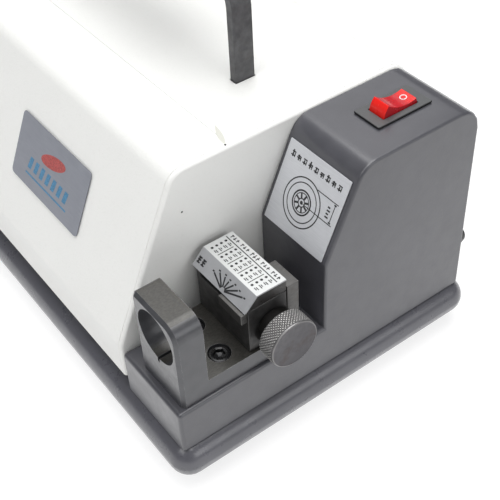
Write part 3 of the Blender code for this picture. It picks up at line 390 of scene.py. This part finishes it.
def abrasive():
    """Bonded grit: pale and dark grains in a brown bond."""
    s = Surface("abrasive_grit", (0.30, 0.26, 0.20), 0.85)
    s.paint = s.mix(s.span(s.cells(0.35 * MM), 0.15, 0.65), (0.52, 0.48, 0.40), (0.16, 0.13, 0.10))
    s.over(s.span(s.noise(6 * MM), 0.45, 0.7, 0.0, 0.4), (0.10, 0.095, 0.09))
    s.polish(1 * MM, 0.75, 0.95)
    s.emboss(s.cells(0.35 * MM), 0.12 * MM)
    return s.done()


def cast_metal(name, colour, metallic=0.7, gloss=0.48):
    s = Surface(name, colour, gloss, metallic)
    s.mottle(5 * MM, 0.15)
    s.over(s.math('MULTIPLY', s.edges(0.5 * MM), 0.5), shade(colour, 1.7))
    s.polish(4 * MM, gloss - 0.08, gloss + 0.1)
    s.emboss(s.noise(0.9 * MM, 3.0), 0.05 * MM)
    return s.done()


def winding():
    """Stack of laminations with varnished copper behind it."""
    s = Surface("stator_winding", (0.34, 0.13, 0.05), 0.40, 0.7)
    waves = s.math('SINE', s.math('MULTIPLY', s.part("X"), 2 * pi / (0.8 * MM)))
    s.paint = s.mix(s.span(waves, -1.0, 1.0), (0.20, 0.07, 0.03), (0.46, 0.19, 0.08))
    s.polish(4 * MM, 0.32, 0.48)
    s.emboss(waves, 0.08 * MM)
    return s.done()


# ---- Mesh helpers ------------------------------------------------------------------------------
def link(name, mesh, mat, body, *nodes):
    """Add a piece, ride it on a body and let it stand for CAD nodes."""
    piece = bpy.data.objects.new(name, mesh)
    bpy.context.scene.collection.objects.link(piece)
    mesh.materials.clear()
    mesh.materials.append(mat)
    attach(piece, body)
    if nodes:
        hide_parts(*nodes)
    return piece


def to_mesh(bm, name):
    mesh = bpy.data.meshes.new(name)
    bmesh.ops.recalc_face_normals(bm, faces=bm.faces)
    bm.to_mesh(mesh)
    bm.free()
    return mesh


def smooth(piece, angle=38):
    piece.data.shade_smooth()
    piece.data.set_sharp_from_angle(angle=radians(angle))
    return piece


def settle(piece):
    """Apply a piece's modifiers."""
    bpy.context.view_layer.update()
    graph = bpy.context.evaluated_depsgraph_get()
    mesh = bpy.data.meshes.new_from_object(piece.evaluated_get(graph))
    piece.modifiers.clear()
    piece.data = mesh
    return piece


def flattened(piece, angle):
    """Shade smooth, with the normals led by the larger faces."""
    smooth(piece, angle)
    flats = piece.modifiers.new("flats", 'WEIGHTED_NORMAL')
    flats.keep_sharp = True
    return settle(piece)


def softened(piece, width, segments=2, angle=38):
    """Round the sharp edges, and keep the flats flat in the shading."""
    bevel = piece.modifiers.new("edges", 'BEVEL')
    bevel.width = width
    bevel.segments = segments
    bevel.limit_method = 'ANGLE'
    bevel.angle_limit = radians(angle)
    bevel.use_clamp_overlap = True
    bevel.miter_outer = 'MITER_ARC'
    settle(piece)
    return flattened(piece, angle)


def welded(node, edit=None, merge=0.002 * MM):
    """A copy of a CAD node's mesh, its close vertices merged and its triangles joined into flat faces."""
    bm = bmesh.new()
    bm.from_mesh(frame["nodes"][node].data)
    bmesh.ops.remove_doubles(bm, verts=bm.verts, dist=merge)
    bmesh.ops.dissolve_limit(bm, angle_limit=radians(0.3), verts=bm.verts, edges=bm.edges)
    if edit:
        edit(bm)
    mesh = bpy.data.meshes.new(node)
    bm.to_mesh(mesh)
    bm.free()
    return mesh


def refined(node, name, mat, width=0.4 * MM, segments=2, edit=None, angle=38):
    """A finished piece on a CAD node's own shape, with its edges broken."""
    piece = link(name, welded(node, edit), mat, frame["nodes"][node]["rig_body"], node)
    return softened(piece, width, segments, angle)


def lathe(rows, steps, centre, axis='X', wave=None):
    """Closed surface turned about an axis. rows are (along, radius, share of the wave)."""
    bm = bmesh.new()
    rings = []
    for along, radius, share in rows:
        ring = []
        for k in range(steps):
            a = 2 * pi * k / steps
            r = radius - (share * wave(a, along) if wave and share else 0.0)
            u, v = r * cos(a), r * sin(a)
            spot = {'X': (along, u, v), 'Y': (u, along, v), 'Z': (u, v, along)}[axis]
            ring.append(bm.verts.new(Vector(centre) + Vector(spot)))
        rings.append(ring)
    for low, high in zip(rings, rings[1:]):
        for k in range(steps):
            bm.faces.new((low[k], low[(k + 1) % steps], high[(k + 1) % steps], high[k]))
    bm.faces.new(rings[0])
    bm.faces.new(rings[-1])
    return bm


def prism(bm, points, low, high, place):
    """Closed flat shape on (u, v) points, from height low to high, in a place's own frame."""
    bottom = [bm.verts.new(place @ Vector((u, v, low))) for u, v in points]
    top = [bm.verts.new(place @ Vector((u, v, high))) for u, v in points]
    bm.faces.new(list(reversed(bottom)))
    bm.faces.new(top)
    for i in range(len(points)):
        j = (i + 1) % len(points)
        bm.faces.new((bottom[i], bottom[j], top[j], top[i]))


class Print:
    """Thin raised ink on a flat place, drawn with bars, dots and rings in millimetres."""

    def __init__(self, place, thick=0.03 * MM):
        self.bm = bmesh.new()
        self.place = place
        self.thick = thick

    def shape(self, points):
        prism(self.bm, [(u * MM, v * MM) for u, v in points], -self.thick, self.thick, self.place)

    def bar(self, u0, v0, u1, v1, width):
        along = Vector((u1 - u0, v1 - v0)).normalized()
        side = Vector((-along.y, along.x)) * width / 2
        a, b = Vector((u0, v0)), Vector((u1, v1))
        self.shape([tuple(a - side), tuple(b - side), tuple(b + side), tuple(a + side)])

    def dot(self, u, v, radius, steps=10):
        self.shape([(u + radius * cos(2 * pi * k / steps), v + radius * sin(2 * pi * k / steps))
                    for k in range(steps)])

    def ring(self, u, v, radius, width, first=0.0, last=360.0, steps=56, squash=1.0):
        """A ring or part of one, in short joined pieces."""
        count = max(3, int(steps * (last - first) / 360))
        for k in range(count):
            a = radians(first + (last - first) * k / count)
            b = radians(first + (last - first) * (k + 1) / count)
            corners = [(radius - width / 2, a), (radius + width / 2, a), (radius + width / 2, b),
                       (radius - width / 2, b)]
            self.shape([(u + r * squash * cos(t), v + r * sin(t)) for r, t in corners])

    def piece(self, name, mat, body):
        return link(name, to_mesh(self.bm, name), mat, body)


def flat_place(centre, along=(1, 0, 0), up=(0, 1, 0)):
    """A frame whose Z axis stands on a surface."""
    along, up = Vector(along), Vector(up)
    out = along.cross(up)
    return Matrix.Translation(centre) @ Matrix((along, up, out)).transposed().to_4x4()


def slope_place(node):
    """The frame on the outer face of a thin plate on a sloped front."""
    low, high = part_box(node)
    up = Vector((0, sin(SLOPE), cos(SLOPE)))
    depth = (high.z - low.z - 0.5 * MM * sin(SLOPE)) / cos(SLOPE)
    top = Vector(((low.x + high.x) / 2, low.y, low.z + 0.5 * MM * sin(SLOPE)))
    return flat_place(top + up * depth / 2, (1, 0, 0), up)


# ---- Camera, floor and light -------------------------------------------------------------------
CAMERA_RIGHT = 0.22878       # beyond the right face of the right casting
CAMERA_FRONT = 0.11610       # ahead of the shelf's front face
CAMERA_UP = 0.36000          # above the base plate
CAMERA_TURN = radians(55.563)
CAMERA_DROP = radians(43.5007)
CAMERA_ROLL = radians(-3.3073)
CAMERA_LENS = 71.66          # millimetres, on a sensor 36 wide
SENSOR_W = 36
FLOOR_HALF = 4.0             # half the floor's width


def camera():
    """The eye stands off the right casting, the shelf's front and the base plate's top."""
    turn, drop, roll = CAMERA_TURN, CAMERA_DROP, CAMERA_ROLL
    back = Vector((sin(turn) * cos(drop), -cos(turn) * cos(drop), sin(drop)))
    right = Vector((cos(turn), sin(turn), 0))
    up = back.cross(right)
    across = right * cos(roll) + up * sin(roll)
    upward = -right * sin(roll) + up * cos(roll)
    data = bpy.data.cameras.new("camera")
    data.lens = CAMERA_LENS
    data.sensor_width = SENSOR_W
    data.clip_start = 0.01
    eye = bpy.data.objects.new("camera", data)
    bpy.context.scene.collection.objects.link(eye)
    pose = Matrix((across, upward, back)).transposed().to_4x4()
    pose.translation = (CASTING_HIGH.x + CAMERA_RIGHT, CASTING_LOW.y - CAMERA_FRONT, BASE_TOP + CAMERA_UP)
    eye.matrix_world = pose
    bpy.context.scene.camera = eye


def floor():
    mesh = bpy.data.meshes.new("floor")
    bm = bmesh.new()
    bmesh.ops.create_grid(bm, x_segments=1, y_segments=1, size=FLOOR_HALF)
    bm.to_mesh(mesh)
    bm.free()
    s = Surface("floor_paper", (0.32, 0.32, 0.32), 0.8)
    s.mottle(200 * MM, 0.01)
    s.set("Emission Color", (1, 1, 1, 1))
    s.set("Emission Strength", 0.78)
    ob = bpy.data.objects.new("floor", mesh)
    mesh.materials.append(s.done())
    bpy.context.scene.collection.objects.link(ob)


def softbox(name, place, target, size, watts, colour=(1, 1, 1)):
    data = bpy.data.lights.new(name, 'AREA')
    data.shape = 'RECTANGLE'
    data.size, data.size_y = size
    data.energy = watts
    data.color = colour
    lamp = bpy.data.objects.new(name, data)
    bpy.context.scene.collection.objects.link(lamp)
    lamp.location = place
    lamp.rotation_euler = (Vector(target) - Vector(place)).to_track_quat('-Z', 'Y').to_euler()


def lights():
    middle = (0, 0, 0.08)
    softbox("top_light", (0.05, 0.05, 1.30), middle, (1.3, 1.1), 17)
    softbox("far_light", (-0.85, 0.66, 1.25), middle, (1.0, 1.0), 3.5)
    softbox("right_light", (1.20, 0.35, 0.60), middle, (0.8, 0.6), 3.2)
    softbox("front_light", (0.15, -1.00, 1.10), middle, (0.8, 0.6), 3.4)
    world = bpy.data.worlds.new("studio")
    bpy.context.scene.world = world
    world.use_nodes = True
    sky = world.node_tree.nodes["Background"]
    sky.inputs["Color"].default_value = (0.95, 0.97, 1.0, 1)
    sky.inputs["Strength"].default_value = 0.17
    bpy.context.scene.view_settings.view_transform = 'Standard'


# ---- Base, castings and hood -------------------------------------------------------------------
def base_and_castings():
    grey = casting_paint("casting_paint", (0.070, 0.070, 0.081), 0.34)
    base_grey = casting_paint("base_paint", (0.100, 0.100, 0.116), 0.30, edge_wear_and_highlight=False)
    base = welded("base_plate", merge=0.08 * MM)
    flattened(link("base_plate_finish", base, base_grey, "machine", "base_plate"), 60)
    refined("right_casting", "right_casting_finish", grey, 0.45 * MM)
    refined("left_casting", "left_casting_finish", grey, 0.45 * MM)
    refined("skirt_front", "skirt_front_finish", base_grey, 0.5 * MM)
    refined("skirt_rear", "skirt_rear_finish", base_grey, 0.5 * MM)


def hood():
    """Two bent shells and two end walls; the shells close up to the walls."""
    paint = hood_paint()
    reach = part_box("hood_end_right")[0].x
    back_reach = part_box("hood_end_left")[1].x
    edge_right, edge_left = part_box("hood_front")[1].x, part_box("hood_front")[0].x
    seam, joint = 0.12 * MM, 0.04 * MM       # left open at the end walls, and each side of the top joint

    front_end, rear_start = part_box("hood_front")[1].y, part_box("hood_rear")[0].y
    middle = (front_end + rear_start) / 2

    def close_up(bm):
        for v in bm.verts:
            if abs(v.co.x - edge_right) < 0.01 * MM:
                v.co.x = reach - seam
            elif abs(v.co.x - edge_left) < 0.01 * MM:
                v.co.x = back_reach + seam
            if abs(v.co.y - front_end) < 0.01 * MM:
                v.co.y = middle - joint
            elif abs(v.co.y - rear_start) < 0.01 * MM:
                v.co.y = middle + joint
    refined("hood_front", "hood_front_skin", paint, 0.25 * MM, edit=close_up)
    refined("hood_rear", "hood_rear_skin", paint, 0.25 * MM, edit=close_up)
    refined("hood_end_right", "hood_end_wall_right", paint, 0.25 * MM)
    refined("hood_end_left", "hood_end_wall_left", paint, 0.25 * MM)


def hood_marks():
    """A painted shade standing for a shallow leaf-shaped dimple by the seam's right end, and two specks, in
    millimetres from the front right corner.
    """
    top = flat_place(Vector((CASTING_HIGH.x, CASTING_LOW.y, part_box("hood_front")[1].z)))
    # Painted shade: a grey leaf shape where the hood top dips by the seam's end.
    dimple_shade = Print(top, 0.06 * MM)
    tip, end = Vector((-46.9, 63.5)), Vector((-60.6, 68.0))
    run = end - tip
    along = run.normalized()
    side = Vector((-along.y, along.x))

    def edge(k, width):
        return tuple(tip + run * k / 12 + side * width * sin(pi * (k / 12) ** 0.8))
    dimple_shade.shape([edge(k, 1.5) for k in range(13)] + [edge(k, -1.1) for k in range(11, 0, -1)])
    dimple_shade.piece("hood_top_dimple_shade", ink("dimple_shade_ink", (0.66, 0.66, 0.60), 0.03), "machine")

    speck = Print(top, 0.08 * MM)
    speck.dot(-46.5, 63.3, 0.5)
    speck.piece("hood_top_speck", ink(), "machine")
    wall_corner = Vector((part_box("hood_end_right")[1].x, CASTING_LOW.y, BASE_TOP))
    speck = Print(flat_place(wall_corner, (0, 1, 0), (0, 0, 1)))
    speck.dot(38.2, 87.2, 0.5)
    speck.piece("hood_wall_speck", ink(), "machine")


# ---- Handle ------------------------------------------------------------------------------------
STRAP_T = 4.4 * MM
BORE_CLEAR = 0.15 * MM       # round the strap, inside the grip


def handle():
    strap = black_oxide("strap_finish", (0.085, 0.085, 0.090), 0.40)
    refined("handle_strap", "handle_strap_finish", strap, 1.3 * MM, 4)
    low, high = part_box("handle_grip")
    middle, half = (low + high) / 2, (high - low) / 2
    bm = bmesh.new()
    lengths, around = 96, 40
    strap_low, strap_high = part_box("handle_strap")
    bore_y = (strap_high.y - strap_low.y) / 2 + BORE_CLEAR
    bore_z = STRAP_T / 2 + BORE_CLEAR
    rings = []
    for i in range(lengths + 1):
        x = -half.x + 2 * half.x * i / lengths
        near_end = max(0.0, 1 - (half.x - abs(x)) / (4 * MM))
        wave = 0.5 - 0.5 * cos(2 * pi * (x + half.x) / (2 * half.x / 4))
        ring = []
        for k in range(around):
            a = 2 * pi * k / around
            c, s = cos(a), sin(a)
            power = 0.55
            y = half.y * abs(c) ** power * (1 if c >= 0 else -1)
            z = half.z * abs(s) ** power * (1 if s >= 0 else -1)
            scallop = (1 - 0.14 * (1 - wave)) if s < 0 else 1.0
            end_round = 1 - 0.10 * near_end ** 2
            ring.append(bm.verts.new(middle + Vector((x, y * end_round, z * scallop * end_round))))
        rings.append(ring)
    for a, b in zip(rings, rings[1:]):
        for k in range(around):
            bm.faces.new((a[k], a[(k + 1) % around], b[(k + 1) % around], b[k]))
    strap_mid = strap_high.z - STRAP_T / 2
    for ring, x in ((rings[0], -half.x), (rings[-1], half.x)):
        hole = [bm.verts.new(Vector((middle.x + x, middle.y + u, strap_mid + v))) for u, v in
                ((-bore_y, -bore_z), (bore_y, -bore_z), (bore_y, bore_z), (-bore_y, bore_z))]
        edges = [bm.edges.get((ring[k], ring[(k + 1) % around])) for k in range(around)]
        edges += [bm.edges.new((hole[i], hole[(i + 1) % 4])) for i in range(4)]
        bmesh.ops.triangle_fill(bm, use_beauty=True, use_dissolve=False, edges=edges)
        ring.clear()
        ring.extend(hole)
    for i in range(4):
        j = (i + 1) % 4
        bm.faces.new((rings[0][i], rings[0][j], rings[-1][j], rings[-1][i]))
    smooth(link("handle_grip_rubber", to_mesh(bm, "handle_grip_rubber"), rubber("grip_rubber"), "machine",
                "handle_grip"), 40)


# ---- Plates on the slopes ----------------------------------------------------------------------
def nameplate():
    """Silver plate with a plain red patch over blue bars."""
    silver = foil("nameplate_silver", (0.250, 0.262, 0.300), 0.36, 0.45)
    refined("nameplate", "nameplate_foil", silver, 0.12 * MM)
    place = slope_place("nameplate")
    accent = Print(place)
    centre = Vector((1.5, 5.2))
    tilt = Matrix.Rotation(radians(14), 2)
    turns = [2 * pi * k / 40 for k in range(40)]
    accent.shape([tuple(centre + tilt @ Vector((11.0 * cos(a), 3.4 * sin(a)))) for a in turns])
    accent.piece("nameplate_accent", ink("accent_ink", (0.40, 0.055, 0.050)), "machine")
    mark = Print(place)
    for k in range(7):
        u = -19.0 + 5.6 * k
        mark.shape([(u, -7.6), (u + 3.1, -7.6), (u + 4.4, -1.4), (u + 1.3, -1.4)])
    mark.bar(-20.0, -10.4, 19.5, -10.4, 0.9)
    mark.piece("nameplate_stripes", ink("stripe_ink", (0.045, 0.20, 0.36)), "machine")


def setting_sticker():
    """Silver sticker with a plain ring scale, leader lines and bars."""
    silver = foil("sticker_silver", (0.66, 0.67, 0.70), 0.34)
    refined("setting_sticker", "setting_sticker_foil", silver, 0.1 * MM)
    lines = Print(slope_place("setting_sticker"))
    u, v = -1.8, -2.7
    for radius, width in ((11.2, 0.60), (8.9, 0.50), (5.5, 0.75), (4.4, 0.40), (1.9, 0.50)):
        lines.ring(u, v, radius, width)
    lines.dot(u, v, 0.9)
    for k in range(8):
        a = radians(45 * k + 22.5)
        lines.bar(u + 1.9 * cos(a), v + 1.9 * sin(a), u + 4.5 * cos(a), v + 4.5 * sin(a), 0.95)
    tail = 17.8
    lines.bar(u + 6.0, v + 9.8, tail, v + 9.8, 0.42)
    lines.bar(u + 1.0, v - 0.2, tail, v - 0.2, 0.42)
    lines.bar(tail - 1.6, v + 0.4, tail - 1.6, v + 9.2, 0.42)
    for end in (0.6, 9.0):
        lines.bar(tail - 2.3, v + end, tail - 0.9, v + end, 0.70)
    for k in range(4):
        lines.bar(tail - 5.2, v + 2.0 + 1.5 * k, tail - 3.2 - 0.5 * (k % 2), v + 2.0 + 1.5 * k, 0.75)
    for k in range(9):
        x = -15.6 + 3.8 * k
        lines.bar(x, 12.6, x, 15.9 - 0.7 * (k % 3), 0.75)
        lines.bar(x - 1.1, 13.3 + 0.5 * (k % 2), x + 1.3, 13.3 + 0.5 * (k % 2), 0.60)
        lines.bar(x - 0.8, 15.0 - 0.4 * (k % 2), x + 1.5, 15.0 - 0.4 * (k % 2), 0.60)
        lines.bar(x + 1.2, 12.7, x + 1.2, 14.6, 0.50)
    lines.piece("setting_sticker_print", ink(), "machine")


# ---- Switch ------------------------------------------------------------------------------------
def switch():
    refined("switch_housing", "switch_bezel", switch_plastic(), 0.22 * MM, 2)
    low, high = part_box("switch_rocker")
    pivot = joint_place("rocker_tilt")
    half_w = (high.x - low.x) / 2
    middle_x = (high.x + low.x) / 2
    reach, tip, dip = 8.19 * MM, 5.2 * MM, 3.0 * MM
    full_r = hypot(reach, tip)
    tilt = radians(-11)
    top = [(reach * (1 - k / 8), dip + (tip - dip) * (1 - k / 8) ** 2) for k in range(17)]
    tip_angle = asin(tip / full_r)
    foot = radians(-34)
    fall = [tip_angle + (foot - tip_angle) * k / 6 for k in range(7)]
    end = [(full_r * cos(a), full_r * sin(a)) for a in fall]
    outline = top + [(-u, v) for u, v in end[1:]] + list(reversed(end[1:]))

    def tipped(x, u, v):
        """A place on the rocker: across, along and above its pivot, at its tilt."""
        return Vector((x, pivot.y + u * cos(tilt) - v * sin(tilt), pivot.z + u * sin(tilt) + v * cos(tilt)))
    bm = bmesh.new()
    sides = [[bm.verts.new(tipped(middle_x + x, u, v)) for u, v in outline] for x in (-half_w, half_w)]
    count = len(outline)
    for i in range(count):
        j = (i + 1) % count
        bm.faces.new((sides[0][i], sides[0][j], sides[1][j], sides[1][i]))
    bm.faces.new(sides[0])
    bm.faces.new(list(reversed(sides[1])))
    rocker = link("rocker_cap", to_mesh(bm, "rocker_cap"), rocker_plastic(), "rocker", "switch_rocker")
    softened(rocker, 0.35 * MM, 3, 32)

    u_mark = 5.0 * MM
    mark = tipped(middle_x, u_mark, dip + (tip - dip) * (u_mark / reach) ** 2)
    lean = tilt + asin(2 * (tip - dip) * u_mark / reach ** 2)
    up = Vector((0, cos(lean), sin(lean)))
    circle = Print(flat_place(mark, (1, 0, 0), up), 0.16 * MM)
    circle.ring(0, 0, 1.45, 0.42, steps=40)
    circle.piece("rocker_off_mark", ink("mark_white", (0.85, 0.82, 0.82)), "rocker")


# ---- Setting gauge -----------------------------------------------------------------------------
def socket_screw(node, name, mat):
    """Cap screw head with a chamfer and a six-sided socket."""
    low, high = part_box(node)
    x, y = (low.x + high.x) / 2, (low.y + high.y) / 2
    radius, top = (high.x - low.x) / 2, high.z
    steps = 48
    key_r, deep = 0.50 * radius, 2.4 * MM
    bm = bmesh.new()

    def ring(r, z, hexagon=False):
        out = []
        for k in range(steps):
            a = 2 * pi * k / steps
            size = r / cos((a % (pi / 3)) - pi / 6) * cos(pi / 6) if hexagon else r
            out.append(bm.verts.new((x + size * cos(a), y + size * sin(a), z)))
        return out
    rings = [ring(0.52 * radius, low.z), ring(0.52 * radius, top - 4.7 * MM),
             ring(0.97 * radius, top - 4.7 * MM),
             ring(radius, top - 4.5 * MM), ring(radius, top - 0.7 * MM), ring(0.93 * radius, top - 0.2 * MM),
             ring(0.84 * radius, top), ring(key_r * 1.32, top), ring(key_r * 1.2, top - 0.25 * MM, True),
             ring(key_r * 1.14, top - deep, True), ring(key_r * 0.4, top - deep - 0.5 * MM)]
    for a, b in zip(rings, rings[1:]):
        for k in range(steps):
            bm.faces.new((a[k], a[(k + 1) % steps], b[(k + 1) % steps], b[k]))
    bm.faces.new(rings[0])
    bm.faces.new(rings[-1])
    smooth(link(name, to_mesh(bm, name), mat, "machine", node), 28)


KNURL_ROWS = 84
KNURL_STEPS = 512
KNURL_COUNT = 50             # ridges round the knob, in each hand
KNURL_DEEP = 0.48 * MM


def knob():
    """Knurled drum with a chamfered, faced front disc and a plain collar."""
    low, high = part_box("gauge_knob")
    axis = joint_place("knob_turn")
    radius = (high.z - low.z) / 2
    knurl_end, front = high.x - 0.9 * MM, high.x
    drum_back = high.x - 9.5 * MM
    collar_r = 9.3 * MM
    pitch = 2 * pi * radius / KNURL_COUNT

    def diamond(angle, along):
        """Depth below the crests of crossed V grooves."""
        turn, run = KNURL_COUNT * angle / (2 * pi), along / pitch
        a = abs(((turn + run) % 1.0) - 0.5) * 2
        b = abs(((turn - run) % 1.0) - 0.5) * 2
        return KNURL_DEEP * (1 - min(1.0, 1.9 * min(a, b)))
    rows = [(low.x, 5.0 * MM, 0), (low.x, collar_r - 0.5 * MM, 0), (low.x + 0.5 * MM, collar_r, 0),
            (drum_back, collar_r, 0), (drum_back, radius - 0.9 * MM, 0),
            (drum_back + 0.5 * MM, radius - 0.25 * MM, 0)]
    start = drum_back + 0.6 * MM
    rows += [(start + (knurl_end - start) * i / KNURL_ROWS, radius, 1) for i in range(KNURL_ROWS + 1)]
    rows += [(knurl_end + 0.05 * MM, radius - 0.15 * MM, 0), (front - 0.25 * MM, radius - 0.25 * MM, 0),
             (front, radius - 0.75 * MM, 0), (front - 0.12 * MM, radius - 1.25 * MM, 0),
             (front - 0.12 * MM, 2.0 * MM, 0), (front - 0.12 * MM, 0.4 * MM, 0)]
    rows = [(along - axis.x, r, share) for along, r, share in rows]
    bm = lathe(rows, KNURL_STEPS, axis, 'X', diamond)
    steel = turned_steel("knob_steel", (0.096, 0.093, 0.100), axis, radius, 0.38)
    smooth(link("knurled_knob", to_mesh(bm, "knurled_knob"), steel, "adjuster", "gauge_knob"), 30)


def leadscrew():
    """Threaded rod; one turn moves the jaw by one pitch."""
    low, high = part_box("gauge_leadscrew")
    axis = joint_place("knob_turn")
    radius = (high.z - low.z) / 2
    lead, deep = 1.5 * MM, 0.75 * MM

    def thread(angle, along):
        phase = (along / lead - angle / (2 * pi)) % 1.0
        return deep * min(1.0, 1.25 * abs(phase - 0.5) * 2)
    count = ceil((high.x - low.x) / lead * 8)
    rows = [(low.x - axis.x, radius - deep, 0)]
    rows += [(low.x - axis.x + (high.x - low.x) * (i + 1) / (count + 2), radius, 1) for i in range(count)]
    rows += [(high.x - axis.x, radius - deep, 0)]
    bm = lathe(rows, 32, axis, 'X', thread)
    smooth(link("gauge_leadscrew_thread", to_mesh(bm, "gauge_leadscrew_thread"),
                ground_steel("leadscrew_steel", (0.36, 0.35, 0.34), 0.30), "adjuster", "gauge_leadscrew"), 40)


def scale_print():
    """Lines, dots and ticks on the white top, and a fan of lines on the sloped front."""
    low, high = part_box("scale_plate")
    bend_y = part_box("scale_block")[0].y + 5.6 * MM
    long, wide = (high.x - low.x) / MM, (high.y - bend_y) / MM
    place = flat_place(Vector((low.x, bend_y, high.z)))
    lines = Print(place)
    split = wide * 0.73
    lines.bar(1.0, split, long - 1.2, split, 0.50)
    cells = 5
    step = (long - 2.4) / cells
    for k in range(cells):
        u = 1.2 + step * k
        if k:
            lines.bar(u, 1.2, u, split - 1.4, 0.42)
        for row in range(4):
            v = 1.9 + (split - 3.6) * row / 3
            lines.dot(u + step * 0.28, v, 0.68, 10)
            lines.bar(u + step * 0.54, v - 0.35, u + step * (0.78 + 0.08 * (row % 2)), v - 0.35, 0.45)
            lines.bar(u + step * 0.58, v + 0.45, u + step * (0.84 - 0.08 * (row % 2)), v + 0.45, 0.45)
        size = 1.0 + 0.35 * (k == 2)
        v = split + (wide - split) * 0.5
        for j in range(3):
            w = u + step * (0.22 + 0.28 * j)
            lines.bar(w, v - 0.9 * size, w, v + 0.9 * size, 0.50)
            lines.bar(w - 0.5, v + (0.5, -0.4, 0.1)[j], w + 0.9, v + (0.5, -0.4, 0.1)[j], 0.50)
    lines.piece("scale_print_top", ink("scale_ink"), "machine")
    up = Vector((0, sin(pi / 4), cos(pi / 4)))
    slope_long = hypot(high.z - low.z, bend_y - low.y) / MM
    fan = Print(flat_place(Vector((low.x, low.y, low.z)), (1, 0, 0), up))
    centre, foot = long * 0.56, 0.7
    for angle, near_r, far_r in ((157, 1.4, 9.4), (138, 1.4, 8.0), (112, 1.6, 6.0), (82, 1.6, 5.2),
                                 (54, 1.6, 6.6), (34, 1.4, 8.8), (20, 1.4, 12.0)):
        a = radians(angle)
        reach = min(far_r, (slope_long - 2.2) / max(0.2, sin(a)))
        hub, ray = Vector((centre, foot)), Vector((cos(a), sin(a)))
        fan.bar(*(hub + ray * near_r), *(hub + ray * reach), 0.80)
        tip = hub + ray * (reach + 0.9)
        fan.bar(tip.x - 0.5, tip.y, tip.x + 0.7, tip.y, 0.70)
    for k in range(2):
        u = 2.0 + 3.0 * k
        fan.bar(u, 2.4, u, 5.6, 0.90)
        for height in (2.8, 4.1, 5.2):
            fan.bar(u - 0.9, height, u + 1.3, height, 0.75)
    fan.piece("scale_print_fan", ink("fan_ink"), "machine")


def gauge():
    refined("gauge_bracket", "gauge_bracket_finish", bracket_metal(), 0.35 * MM)
    glossy = black_oxide("screw_black", (0.016, 0.016, 0.018), 0.20)
    socket_screw("bracket_screw_left", "socket_screw_left", glossy)
    socket_screw("bracket_screw_right", "socket_screw_right", glossy)
    block = black_oxide("gauge_black", (0.044, 0.043, 0.043), 0.38)
    refined("gauge_body", "gauge_body_finish", block, 0.30 * MM)
    dark = black_oxide("scale_block_black", (0.042, 0.040, 0.039), 0.32)
    refined("scale_block", "scale_block_finish", dark, 0.30 * MM)
    jaw = ground_steel("jaw_steel", (0.128, 0.125, 0.122), 0.38)
    refined("gauge_jaw", "gauge_jaw_finish", jaw, 0.30 * MM)
    refined("scale_plate", "scale_plate_foil", scale_foil(), 0.12 * MM)
    scale_print()
    knob()
    leadscrew()


# ---- The rest ----------------------------------------------------------------------------------
def feet_and_gland():
    black = rubber("foot_rubber")
    steel = ground_steel("screw_steel", (0.50, 0.49, 0.47), 0.30)
    for along in ("front", "rear"):
        for across in ("left", "right"):
            refined(f"foot_{along}_{across}", f"rubber_foot_{along}_{across}", black, 0.6 * MM, 3)
            refined(f"foot_screw_{along}_{across}", f"foot_screw_head_{along}_{across}", steel, 0.3 * MM)
    nylon = switch_plastic()
    refined("cable_gland", "cable_gland_finish", nylon, 0.3 * MM)
    refined("gland_locknut", "gland_locknut_finish", nylon, 0.3 * MM)


def grinding_head():
    iron = bracket_metal()
    steel = ground_steel("port_screw_steel", (0.46, 0.45, 0.44), 0.30)
    for port in ("front_port", "side_port"):
        refined(port, f"{port}_finish", iron, 0.35 * MM)
        for word in ("upper", "lower"):
            refined(f"{port}_screw_{word}", f"{port}_screw_head_{word}", steel, 0.2 * MM)
    refined("grinding_wheel", "grinding_wheel_finish", abrasive(), 0.3 * MM)


def inner_finishes():
    """Materials of the CAD nodes that keep their own shape."""
    steel = ground_steel("inner_steel", (0.42, 0.41, 0.40), 0.32)
    alu = cast_metal("inner_aluminium", (0.50, 0.50, 0.51))
    enamel = cast_metal("motor_enamel", (0.10, 0.11, 0.12), 0.1, 0.4)
    brass = cast_metal("terminal_brass_finish", (0.62, 0.44, 0.18), 1.0, 0.3)
    pins = black_oxide("pin_black")
    choice = {"motor_can": enamel, "motor_stator": winding(), "motor_rotor": steel, "motor_shaft": steel,
              "wheel_back_flange": alu, "wheel_nut": pins}
    for word in ("left", "right"):
        choice[f"motor_bell_{word}"] = alu
        choice[f"motor_bearing_{word}"] = steel
        choice[f"motor_cradle_{word}"] = alu
        choice[f"handle_pin_{word}"] = pins
    for k in range(4):
        choice[f"switch_terminal_{k + 1}"] = brass
    for node, mat in choice.items():
        mesh = frame["nodes"][node].data
        mesh.materials.clear()
        mesh.materials.append(mat)


def main():
    camera()
    floor()
    lights()
    base_and_castings()
    hood()
    hood_marks()
    handle()
    nameplate()
    setting_sticker()
    switch()
    gauge()
    feet_and_gland()
    grinding_head()
    inner_finishes()


main()
